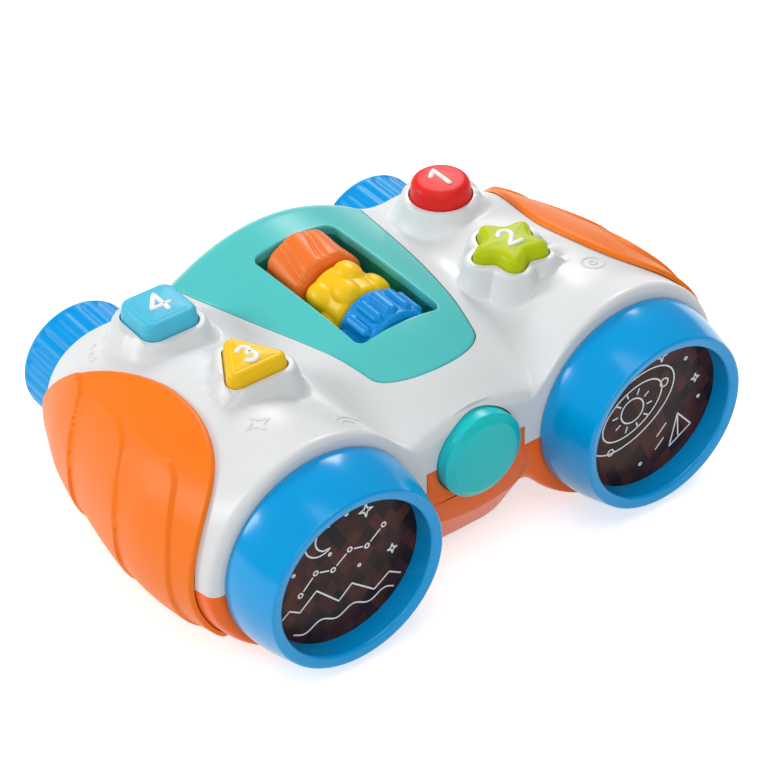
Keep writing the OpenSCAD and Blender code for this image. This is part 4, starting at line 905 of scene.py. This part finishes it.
# %% Side grips
grip_front_y, grip_rear_y = front_y + 7.5, rear_y - 3.0
grip_middle, grip_up, grip_down = 5.0, 76.0, 58.0
grip_top_at, grip_front_power, grip_rear_power, grip_low_power = 0.45, 2.5, 1.7, 7.0
GRIP_T, GRIP_EDGE, GRIP_LOW = 1.5, 1.2, 0.6
PAD_HEIGHT, PAD_LENGTH, PAD_TOP_ROUND, PAD_STEP = 0.95, 27.0, 6.5, 0.8
PAD_BEND_AT, PAD_LOW_LEAN, PAD_SLANT, MM_PER_DEGREE = 50, 2.5, math.sqrt(1.15), 0.68
PADS = [(-42.0, 11.6, 52.5), (-15.5, 13.5, 49.5), (18.5, 9.9, 52.0)]


def grip_bow(u, power):
    return np.maximum(0.0016, 1 - np.minimum(1, np.abs(u)) ** power) ** (1 / power)


def grip_angle(y, v):
    """Angle on the barrel: v runs from the grip's upper edge, 1, to its lower edge, -1."""
    t = (y - grip_front_y) / (grip_rear_y - grip_front_y)
    if t < grip_top_at:
        bow = grip_bow((t - grip_top_at) / grip_top_at, grip_front_power)
    else:
        bow = grip_bow((t - grip_top_at) / (1 - grip_top_at), grip_rear_power)
    low = (grip_down + grip_middle) * grip_bow(2 * t - 1, grip_low_power)
    return grip_middle + v * np.where(v > 0, (grip_up - grip_middle) * bow, low)


def pad_height(y, angle):
    """Height of the finger pads above the grip."""
    total = np.zeros_like(angle)
    r = PAD_TOP_ROUND
    for start, lean, top in PADS:
        line = (start + lean * (np.maximum(0, angle) / PAD_BEND_AT) ** 2
                + PAD_LOW_LEAN * (np.minimum(0, angle) / PAD_BEND_AT) ** 2)
        ahead = (line - y) / PAD_SLANT
        above = (angle - top) * MM_PER_DEGREE
        d = np.hypot(np.maximum(ahead + r, 0), np.maximum(above + r, 0)) - r
        d = np.where((ahead + r < 0) & (above + r < 0), np.maximum(ahead, above), d)
        step = np.clip(-d / PAD_STEP, 0, 1)
        fade = np.clip(1 - (y - line) / PAD_LENGTH, 0, 1)
        total = np.maximum(total, PAD_HEIGHT * step * step * (3 - 2 * step) * fade)
    return total


def grip(side, node):
    v = np.concatenate([[1.0], np.linspace(0.995, -0.99, 150), [-1.0]])
    rings = []
    for t in (1 - np.cos(np.linspace(0, np.pi, 190))) / 2:
        y = grip_front_y + (grip_rear_y - grip_front_y) * t
        angle = grip_angle(y, v)
        reach = np.minimum(np.minimum(np.abs(1 - v), np.abs(1 + v)) * 40,
                           min(y - grip_front_y, grip_rear_y - y) + 0.2)
        edge = rounded(np.minimum(reach, GRIP_EDGE), GRIP_EDGE)
        lift = GRIP_T + pad_height(y, angle) - np.minimum(edge, GRIP_T - 0.1)
        outer, inner = (np.column_stack([side * x, np.full(len(v), y), np.maximum(GRIP_LOW, z)])
                        for x, z in (quarter(y, angle, -seat_gap - h) for h in (lift, 0)))
        rings.append(np.concatenate([outer, inner[::-1]]))
    dress(ring_loft(node + "_skin", rings), "orange_grip", node=node, sharp=50)


for side, word in SIDES:
    grip(side, word + "_grip")

# %% [markdown]
# ## Top panel and roller tray
# The teal panel lies flush in the shell and has a window for the rollers. Its points run in rings from
# the window's edge out to the panel's edge, so both edges are clean curves with a small radius. The tray
# below is a tub with round corners that hides the inside of the toy.

# %% Panel
WINDOW_W, WINDOW_FRONT, WINDOW_REAR, WINDOW_ROUND = 15.2, -20.9, 35.5, 3.0
PANEL_POINTS, PANEL_T, PANEL_EDGE, WINDOW_DEEP = 420, 2.0, 0.7, 3.4
panel_centre = np.array([0.0, 7.3])
spread = np.linspace(0, 2 * np.pi, PANEL_POINTS, endpoint=False)
heading = np.stack([np.sin(spread), np.cos(spread)], -1)


def window_radius(d, grow=0.0):
    """Distance from the panel's middle to the window's edge, in a direction."""
    half = np.array([WINDOW_W, (WINDOW_REAR - WINDOW_FRONT) / 2]) + grow
    r = WINDOW_ROUND + grow

    def inside(distance):
        q = np.abs(d * distance) - half + r
        return (math.hypot(max(q[0], 0), max(q[1], 0)) if max(q) > 0 else max(q)) < r

    return edge_at(inside, 60.0)


def panel_radius(d):
    def inside(distance):
        x, y = panel_centre + d * distance
        return panel_front_y < y < panel_rear_y and abs(x) < panel_w(y)

    return edge_at(inside, 80.0)


inner_r = np.array([window_radius(d) for d in heading])
outer_r = np.array([panel_radius(d) for d in heading])


def panel_ring(share, outward, drop):
    """One ring of the panel: share runs from the window's edge, 0, to the panel's edge, 1."""
    r = inner_r + (outer_r - inner_r) * share + outward
    p = panel_centre + heading * r[:, None]
    return np.column_stack([p, top_z(p[:, 0], p[:, 1]) - drop])


rings = [panel_ring(0, 0.1, WINDOW_DEEP), panel_ring(0, 0.0, PANEL_EDGE + 0.6)]
rings += [panel_ring(0, PANEL_EDGE * (1 - math.cos(t)), PANEL_EDGE * (1 - math.sin(t)))
          for t in np.linspace(0.1, np.pi / 2, 6)]
rings += [panel_ring(s, 0.0, 0.0) for s in np.linspace(0.08, 0.94, 22)]
rings += [panel_ring(1, -PANEL_EDGE * (1 - math.sin(t)), PANEL_EDGE * (1 - math.cos(t)) * 0.7)
          for t in np.linspace(0, np.pi / 2, 5)]
rings += [panel_ring(1, 0.0, PANEL_T), panel_ring(0.5, 0.0, PANEL_T),
          panel_ring(0, 1.2, PANEL_T + 0.8), panel_ring(0, 0.9, WINDOW_DEEP)]
dress(ring_loft("roller_panel", rings + rings[:1], False), "teal", node="top_panel", sharp=50)

# %% Roller tray
# The tray's dark teal is painted shade: the panel's teal, darkened for the shadow under the window.
TRAY_T, TRAY_RIM, TRAY_RIM_DROP = 1.6, 1.5, 2.9
tray_low = float(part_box("roller_tray")[0][2]) / MM
tray_floor = tray_low + TRAY_T


def tray_ring(grow, z):
    r = np.array([window_radius(d, grow) for d in heading[::3]])
    return level_ring(heading[::3] * r[:, None], panel_centre, z)


def under_panel(grow, drop):
    p = tray_ring(grow, 0.0)
    return np.column_stack([p[:, :2], top_z(p[:, 0], p[:, 1]) - drop])


inside = [under_panel(TRAY_RIM, TRAY_RIM_DROP), under_panel(0.15, TRAY_RIM_DROP),
          under_panel(0.1, 3.6), tray_ring(0.1, tray_floor + TRAY_T)]
inside += [tray_ring(0.1 - TRAY_T * (1 - math.cos(t)), tray_floor + TRAY_T * (1 - math.sin(t)))
           for t in np.linspace(0.2, 1.5, 5)]
inside += [tray_ring(-6.0, tray_floor), tray_ring(-14.0, tray_floor)]
outside = [under_panel(TRAY_RIM, TRAY_RIM_DROP), tray_ring(TRAY_RIM, tray_low),
           tray_ring(-6.0, tray_low), tray_ring(-14.0, tray_low)]
dress(ring_loft("roller_tub", inside[::-1] + outside), "dark_teal", node="roller_tray",
      sharp=45)

# %% [markdown]
# ## Rollers
# Three rollers spin on one steel pin: the orange one has pairs of fine curved grooves, the yellow one
# has staggered knobs, and the blue one has finger-like ribs that stop short of its ends. Each is a grid
# of radii round the pin, so any relief can be written as a formula of angle and place.

# %% Rollers
AXLE_Z, ROLLER_R, BORE_R = 55.5, 13.4, 1.6
GROOVE_PAIRS, GROOVE_APART, GROOVE_W, GROOVE_DEEP, GROOVE_BEND = 8, 0.17, 0.042, 0.5, 0.16
KNOBS, KNOB_HEIGHT, RIBS = 10, 3.0, 14


def roller(name, body, y0, y1, relief, finish, end_r=2.2, steps=216):
    ends = eased(end_r, 9)
    places = np.concatenate([y0 + ends, np.linspace(y0 + end_r, y1 - end_r, 30)[1:-1],
                             y1 - ends[::-1]])
    angles = np.linspace(0, 2 * np.pi, steps, endpoint=False)
    rings = []
    for y in places:
        r = relief(angles, (y - y0) / (y1 - y0)) - rounded(min(y - y0, y1 - y), end_r)
        rings.append(ring_y(0, y, AXLE_Z, r, angles))
    rings += [ring_y(0, y, AXLE_Z, BORE_R, angles) for y in (y1, y0)]
    dress(ring_loft(name, rings + rings[:1], False), finish, body, body)


def grooved(angle, t):
    """Pairs of fine grooves with a bend, on a drum with a slight wave."""
    bend = GROOVE_BEND * math.sin(math.pi * (t - 0.5))
    depth = np.zeros_like(angle)
    for k in range(GROOVE_PAIRS):
        for offset in (0.0, GROOVE_APART):
            d = np.angle(np.exp(1j * (angle - bend - 2 * np.pi * k / GROOVE_PAIRS - offset)))
            depth += np.exp(-(d / GROOVE_W) ** 2)
    wave = 0.22 * np.cos(GROOVE_PAIRS * (angle - bend - 0.09))
    fade = math.sin(math.pi * np.clip(t, 0.04, 0.96)) ** 0.4
    return ROLLER_R - 0.4 - wave - GROOVE_DEEP * np.minimum(1, depth) * fade


def knobbed(angle, t):
    """Round knobs in two staggered rows on a plain drum."""
    height = np.zeros_like(angle)
    for k in range(KNOBS):
        middle = 0.3 if k % 2 else 0.7
        across = np.angle(np.exp(1j * (angle - 2 * np.pi * k / KNOBS - 0.25))) * ROLLER_R
        d = np.sqrt((across / 5.4) ** 2 + ((t - middle) * 18 / 5.6) ** 2)
        knob = KNOB_HEIGHT * np.sqrt(np.maximum(0, 1 - np.minimum(d, 1) ** 2))
        height = soft_max(height, knob, 1.2)
    return ROLLER_R - 3.2 + height


def ribbed(angle, t):
    """Finger-like ribs with round ends."""
    pitch = 2 * np.pi / RIBS
    across = np.abs((angle + pitch / 2) % pitch - pitch / 2) * ROLLER_R
    along = max(0, abs(t - 0.5) * 16 - 3.8)
    d = np.hypot(across, along) / 2.05
    rib = 1.55 * np.maximum(0, 1 - np.minimum(d, 1) ** 3) ** 0.6
    return ROLLER_R - 1.6 + rib + 0.3 * (2 * t - 1) ** 4


roller("grooved_roller", "ridged_roller", 15.1, 33.5, grooved, "roller_orange")
roller("knobbed_roller", "lobed_roller", -3.7, 14.3, knobbed, "yellow", 2.6)
roller("finger_roller", "ribbed_roller", -20.5, -4.5, ribbed, "roller_blue", 1.8, 252)

# %% [markdown]
# ## Front button
# The big teal button on the nose has a straight side, a bevel that catches a thin bright line and a
# slightly domed face. A turned profile is the plain way to make it.

# %% Front button
FACE_Y, CAP_R, CAP_KEEPER_R, AXIS_R = front_y - 5.0, 14.3, 15.7, 0.05
FACE = [(AXIS_R, -0.55), (4, -0.5), (8, -0.3), (11.2, 0.05), (11.7, 0.12), (11.95, 0.28), (12.4, 0.55),
        (13.3, 1.25)]
profile = [(r, FACE_Y + y) for r, y in FACE]
profile += arc(CAP_R - 1.0, FACE_Y + 2.2, 1.0, math.degrees(1.2), 0, 6, -0.95)
profile += [(CAP_R, front_y + 2.5), (CAP_KEEPER_R, front_y + 2.5), (CAP_KEEPER_R, front_y + 4.1),
            (AXIS_R, front_y + 4.1)]
front_cap = lathe_y("front_cap", profile, 0, BUTTON_Z, 128, None, False)
dress(front_cap, "front_teal", "front_button", "front_button")

# %% [markdown]
# ## Lens rims and lenses
# A rim is a glossy, slightly swelling tube with a flat lip, and the lens sits a little way down inside.
# The long highlights on it come from the lamps, so the profile has to be smooth: it is turned from many
# small steps.

# %% Rims and lenses
RIM_FRONT, RIM_REAR = -77.0, -57.8
APERTURE, LIP_R, RIM_R, LENS_Y = 26.0, 30.0, 33.1, -69.0
RIM_SEAT_R, RIM_NECK_R, RIM_NECK_DEEP, LENS_R, LENS_T = 27.9, 30.0, 5.3, 27.6, 1.6

rim_profile = [(APERTURE + 0.25, LENS_Y + 0.05), (APERTURE + 0.1, RIM_FRONT + 1.6)]
rim_profile += arc(APERTURE + 1.4, RIM_FRONT + 1.65, -1.3, math.degrees(0.1), 90, 8)
rim_profile += [(28.4, RIM_FRONT + 0.1)]
rim_profile += arc(LIP_R - 1.1, RIM_FRONT + 1.2, 1.1, 90, 90 - math.degrees(1.35), 9, -1.2)
lip_r, lip_y = rim_profile[-1]
rim_profile += [(lip_r + (RIM_R - lip_r) * math.sin(u * math.pi / 2),
                 lip_y + (RIM_REAR - 0.5 - lip_y) * u) for u in np.linspace(0.04, 1, 26)]
rim_profile += [(RIM_R - 0.15, RIM_REAR - 0.15), (RIM_R - 0.5, RIM_REAR), (RIM_NECK_R, RIM_REAR),
                (RIM_NECK_R, RIM_REAR + RIM_NECK_DEEP), (RIM_SEAT_R, RIM_REAR + RIM_NECK_DEEP),
                (RIM_SEAT_R, LENS_Y + 0.05)]
disc = [(AXIS_R, LENS_Y), (12, LENS_Y), (20, LENS_Y + 0.01), (27.0, LENS_Y + 0.02),
        (LENS_R, LENS_Y + 0.3), (LENS_R, LENS_Y + LENS_T), (AXIS_R, LENS_Y + LENS_T)]
# Each lens disc gets a material whose chequer is a painted reflection.
for side, word in SIDES:
    rim = lathe_y(word + "_rim_tube", rim_profile, side * barrel_x, LENS_Z, 220)
    dress(rim, "blue", node=word + "_rim", sharp=35)
    lens = lathe_y(word + "_lens_disc", disc, side * barrel_x, LENS_Z, 128, None, False)
    dress(lens, "lens_with_painted_reflection_" + word, node=word + "_lens")

# %% [markdown]
# The lenses carry a white line print. It is a plain design of its own: a crescent, a chain of stars and
# a range of hills on one lens, and a sun with rays, two orbits and a kite-shaped dart on the other. The
# lines are thin raised ink, which keeps them crisp at any size.

# %% Lens print
PRINT_LIMIT, PRINT_STEP, INK_W, INK_T = 24.6, 0.6, 0.27, 0.07


def circle_line(cx, cy, r, steps=10, squash=1.0, tilt=0.0):
    c, s = math.cos(tilt), math.sin(tilt)
    return [(cx + c * a - s * b, cy + s * a + c * b)
            for a, b in arc(0, 0, r, 0, 360, steps + 1, squash * r)]


def star_line(cx, cy, r, points=4, notch=0.32):
    out = []
    for k in range(2 * points + 1):
        a = math.pi * k / points + math.pi / 2
        q = r if k % 2 == 0 else r * notch
        out.append((cx + q * math.cos(a), cy + q * math.sin(a)))
    return out


def crescent(cx, cy, r):
    outer = arc(cx, cy, r, 50, 310, 26)
    return outer + arc(cx + 0.52 * r, cy, 0.83 * r, 247, 113, 20) + outer[:1]


def rays(cx, cy, r0, r1, count):
    return [[(cx + r * math.cos(a), cy + r * math.sin(a)) for r in (r0, r1)]
            for a in np.linspace(0, 2 * np.pi, count, endpoint=False)]


def inside_lens(line):
    """Keeps the points of a line that lie on the visible lens."""
    return [p for p in line if math.hypot(*p) < PRINT_LIMIT]


chain = np.array([(-15, -3), (-9.5, 2.5), (-3.5, 0.5), (2.5, 5), (8.5, 3.2), (14.5, 8.0)])
links = zip(chain[:-1], chain[1:], unit(chain[1:] - chain[:-1]))
hills = [(-24, -10.5), (-19, -6.8), (-15.5, -9.2), (-9.5, -4.2), (-2, -12.2), (2.8, -8.0),
         (10.5, -14.6), (16, -10.8), (21, -14)]
ripple = [(x, -17.0 + 1.1 * math.sin(0.55 * x)) for x in np.linspace(-20, 20, 60)]
SUN = (-6.5, 3.5)
PRINTS = {
    "left": [crescent(-7.5, 13.2, 5.2), inside_lens(dense(hills, PRINT_STEP)), inside_lens(ripple),
             star_line(8.5, 16.5, 2.5), star_line(17.3, -2.5, 1.8)]
    + [[a + u * 1.7, b - u * 1.7] for a, b, u in links] + [circle_line(x, y, 0.75, 14) for x, y in chain]
    + [circle_line(x, y, 0.45) for x, y in ((1.8, 18.5), (-17, 5.6), (5.6, -2.6), (-4.4, 6.9))],
    "right": [circle_line(*SUN, 4.4, 32), circle_line(5.9, 8.4, 1.5, 18),
              circle_line(-14.6, -8.8, 1.1, 16),
              inside_lens(circle_line(*SUN, 12.4, 60, 0.62, 0.5)),
              inside_lens(circle_line(*SUN, 17.6, 70, 0.62, 0.5)),
              [(12.0, -6.5), (17.6, -13.2), (9.2, -18.2), (12.0, -6.5)], [(12.0, -6.5), (12.6, -15.4)],
              [(7.4, -8.2), (4.0, -11.6)], [(6.6, -13.6), (3.6, -16.6)],
              star_line(4.5, 19.0, 2.3), star_line(-16, 14.5, 1.9), star_line(18.5, 4.2, 1.7),
              circle_line(14.2, 13.6, 0.5), circle_line(-2.4, -19.4, 0.5),
              circle_line(-20.6, 1.4, 0.45), circle_line(20.2, -3.8, 0.45)]
    + rays(*SUN, 5.8, 7.6, 10),
}
for side, word in SIDES:
    lines = [[(side * barrel_x + a, LENS_Y - 0.03, LENS_Z + b) for a, b in dense(line, PRINT_STEP)]
             for line in PRINTS[word]]
    ink = bead(word + "_print", lines, lambda p: np.array([0, -1.0, 0]), INK_W, INK_T, 6)
    dress(ink, "print_white", sharp=60)

# %% [markdown]
# ## Eyepieces
# Each eyepiece is a blue cup with shallow ribs for the fingers. The ribs are a wave in the radius that
# dies out at the rounded end. The cup leads down to a small eye lens.

# %% Eyepieces
EYE_START, EYE_END, EYE_R, CUP_R, CUP_FLOOR = 57.3, 77.0, 20.0, 14.6, 66.0
EYE_NECK_R, EYE_FLANGE_R, NECK_END, FLANGE_END = 16.9, 18.3, 52.9, 54.4
EYE_LENS_R, EYE_BORE_R, EYE_SEAT = 12.9, 9.0, CUP_FLOOR - 1.6
EYE_RIBS, EYE_RIB_DEEP, RIBBED_FROM_R = 24, 0.6, 18.5


def eye_radius(r, y, angle):
    ends = min(y - EYE_START - 0.4, EYE_END - 2.0 - y) / 1.5
    reach = np.clip(ends, 0, 1) if r > RIBBED_FROM_R else 0.0
    wave = 0.5 - 0.5 * np.cos(EYE_RIBS * angle)
    return r - EYE_RIB_DEEP * reach * wave**1.6


profile = [(EYE_NECK_R, NECK_END), (EYE_FLANGE_R, NECK_END), (EYE_FLANGE_R, FLANGE_END),
           (EYE_NECK_R, FLANGE_END), (EYE_NECK_R, EYE_START), (EYE_R - 0.9, EYE_START)]
profile += arc(EYE_R - 0.9, EYE_START + 0.9, 0.9, 90 - math.degrees(0.3), 0, 5, -0.9)
profile += [(EYE_R, y) for y in np.linspace(EYE_START + 1.2, EYE_END - 2.3, 14)]
profile += arc(EYE_R - 2.0, EYE_END - 2.0, 2.0, 0, 90, 9)
profile += arc(CUP_R + 1.4, EYE_END - 1.4, -1.4, -90, 0, 7)
profile += [(CUP_R, CUP_FLOOR + 0.8), (CUP_R - 0.8, CUP_FLOOR), (EYE_LENS_R, CUP_FLOOR),
            (EYE_LENS_R, EYE_SEAT), (EYE_BORE_R, EYE_SEAT), (EYE_BORE_R, NECK_END)]
for side, word in SIDES:
    cup = lathe_y(word + "_eye_cup", profile, side * barrel_x, EYE_Z, 288, eye_radius)
    dress(cup, "eyepiece_blue", word + "_eyepiece", word + "_eyepiece")

# %% [markdown]
# ## Small relief on the shell
# The white shell has a few low marks moulded into it, hardly more than a shadow. These are plain ones:
# rings, arcs, a star and dots. Each is a bead that follows the surface and is half sunk in it.

# %% Moulded marks
NORMAL_STEP, MARK_W, MARK_T = 0.4, 0.42, 0.3


def on_shell(x, y):
    return np.array([x, y, float(top_z(x, y))])


def on_barrel(side, y, angle):
    x, z = quarter(y, angle)
    return np.array([side * float(x), y, float(z)])


def shell_normal(p):
    """Outward direction of the upper shell near a point."""
    x, y, z = p
    e = NORMAL_STEP
    if abs(x) > barrel_x:
        side = math.copysign(1, x)
        angle = math.degrees(math.atan2(z - split_z(y), abs(x) - barrel_x))
        a = on_barrel(side, y, min(89, angle + 1)) - on_barrel(side, y, max(1, angle - 1))
        b = on_barrel(side, y + e, angle) - on_barrel(side, y - e, angle)
    else:
        a = on_shell(x + e, y) - on_shell(x - e, y)
        b = on_shell(x, y + e) - on_shell(x, y - e)
    normal = np.cross(a, b)
    normal /= np.linalg.norm(normal)
    return normal if normal[2] > 0 else -normal


def shell_line(line, step, cx, cy):
    """A flat line round (cx, cy), laid on the shell."""
    out = []
    for x, y in dense(line, step) + (cx, cy):
        if abs(x) > barrel_x:
            reach = min(1, (abs(x) - barrel_x) / float(side_w(y)))
            angle = math.degrees(math.acos(reach ** (1 / corner_power(y))))
            out.append(on_barrel(math.copysign(1, x), y, angle))
        else:
            out.append(on_shell(x, y))
    return np.array(out)


marks = [shell_line(circle_line(0, 0, 3.4, 30), 0.6, 66.0, -31.0),
         shell_line(circle_line(0, 0, 1.1, 16), 0.5, 66.0, -31.0),
         shell_line(star_line(0, 0, 4.0, 4, 0.42), 0.5, -60.0, -33.0)]
marks += [shell_line(arc(0, 0, r, 20, 160, 16), 0.6, -33.0, -40.0) for r in (2.2, 4.0)]
marks += [shell_line(circle_line(0, 0, 0.9, 12), 0.4, x, y) for x, y in ((-71, 41), (-68, 44), (-72.5, 37))]
relief = bead("moulded_marks", marks, shell_normal, MARK_W, MARK_T, 8)
dress(relief, "white_shell", sharp=60)

# %% [markdown]
# ## Pieces that stay as they are
# Screws, springs, boards and the other inner pieces have the right shape in the imported model. They only
# get their finishes, and the ones that can be seen from below get a small bevel, because no moulded edge
# is truly sharp.

# %% Finishes of the other pieces
# The printed lens slot gets the left lens's material, whose chequer is a painted reflection.
SLOT_FINISH = {"light": "print_white", "printed_lens": "lens_with_painted_reflection_left"}
for row in frame["record"]["subparts"]:
    node = frame["nodes"][row["node"]]
    slot = row["material_slot"]
    node.data.materials.clear()
    node.data.materials.append(FINISH[SLOT_FINISH.get(slot, slot)])
for name in ("battery_door", "power_knob", "door_screw", "case_screws"):
    soften(frame["nodes"][name])
print("finished", len(frame["nodes"]), "nodes")

# %% [markdown]
# ## Stage
# A white studio: a pale floor that keeps the soft shadow, a white surround, and large soft lamps. Two of
# the lamps stand behind the toy to the left and right, where their reflections make the long highlights
# on the rims.

# %% Floor
FLOOR_REACH, FLOOR_Z, FLOOR_GLOW = 6000, -0.05, 0.6
WHITE_LIGHT = (1, 1, 1, 1)
corners = [(-1, -1), (1, -1), (1, 1), (-1, 1)]
floor = mesh_piece("floor", [(a * FLOOR_REACH, b * FLOOR_REACH, FLOOR_Z) for a, b in corners],
                   [(0, 1, 2, 3)])
paper, tree, shader = new_material("paper", Base_Color=(0.86, 0.86, 0.86, 1), Roughness=0.9,
                                   Specular_IOR_Level=0.0)
glow = tree.nodes.new("ShaderNodeEmission")
glow.inputs["Color"].default_value = WHITE_LIGHT
path = tree.nodes.new("ShaderNodeLightPath")
seen = math_node(tree, "MAXIMUM", path.outputs["Is Camera Ray"], path.outputs["Is Glossy Ray"])
seen = math_node(tree, "MAXIMUM", seen, path.outputs["Is Transmission Ray"])
tree.links.new(math_node(tree, "MULTIPLY", seen, FLOOR_GLOW), glow.inputs["Strength"])
both = tree.nodes.new("ShaderNodeAddShader")
tree.links.new(shader.outputs[0], both.inputs[0])
tree.links.new(glow.outputs[0], both.inputs[1])
tree.links.new(both.outputs[0], tree.nodes["Material Output"].inputs["Surface"])
floor.data.materials.append(paper)

# %% World and lamps
SKY_LIGHT = 0.27
LAMP_AIM = Vector((0, 0, 0.03))
world = bpy.data.worlds.new("studio")
scene.world = world
world.use_nodes = True
tree = world.node_tree
sky = tree.nodes["Background"]
sky.inputs["Color"].default_value = WHITE_LIGHT
path = tree.nodes.new("ShaderNodeLightPath")
seen = math_node(tree, "MULTIPLY", path.outputs["Is Camera Ray"], 1 - SKY_LIGHT)
tree.links.new(math_node(tree, "ADD", seen, SKY_LIGHT), sky.inputs["Strength"])


def lamp(name, direction, distance, width, height, watts):
    data = bpy.data.lights.new(name, "AREA")
    data.shape = "RECTANGLE"
    data.size, data.size_y, data.energy = width, height, watts
    lamp_object = bpy.data.objects.new(name, data)
    toward = Vector(direction).normalized() * distance
    lamp_object.location = LAMP_AIM + toward
    lamp_object.rotation_euler = (-toward).to_track_quat("-Z", "Y").to_euler()
    scene.collection.objects.link(lamp_object)


lamp("soft_right", (0.52, 0.61, 0.58), 1.5, 0.42, 0.55, 10)
lamp("soft_left", (-0.69, 0.62, 0.39), 1.5, 0.42, 0.5, 9)
lamp("soft_top", (-0.15, -0.25, 1.0), 1.6, 1.1, 1.1, 9)
lamp("soft_front", (-0.5, -0.8, 0.45), 1.9, 1.0, 0.9, 7)
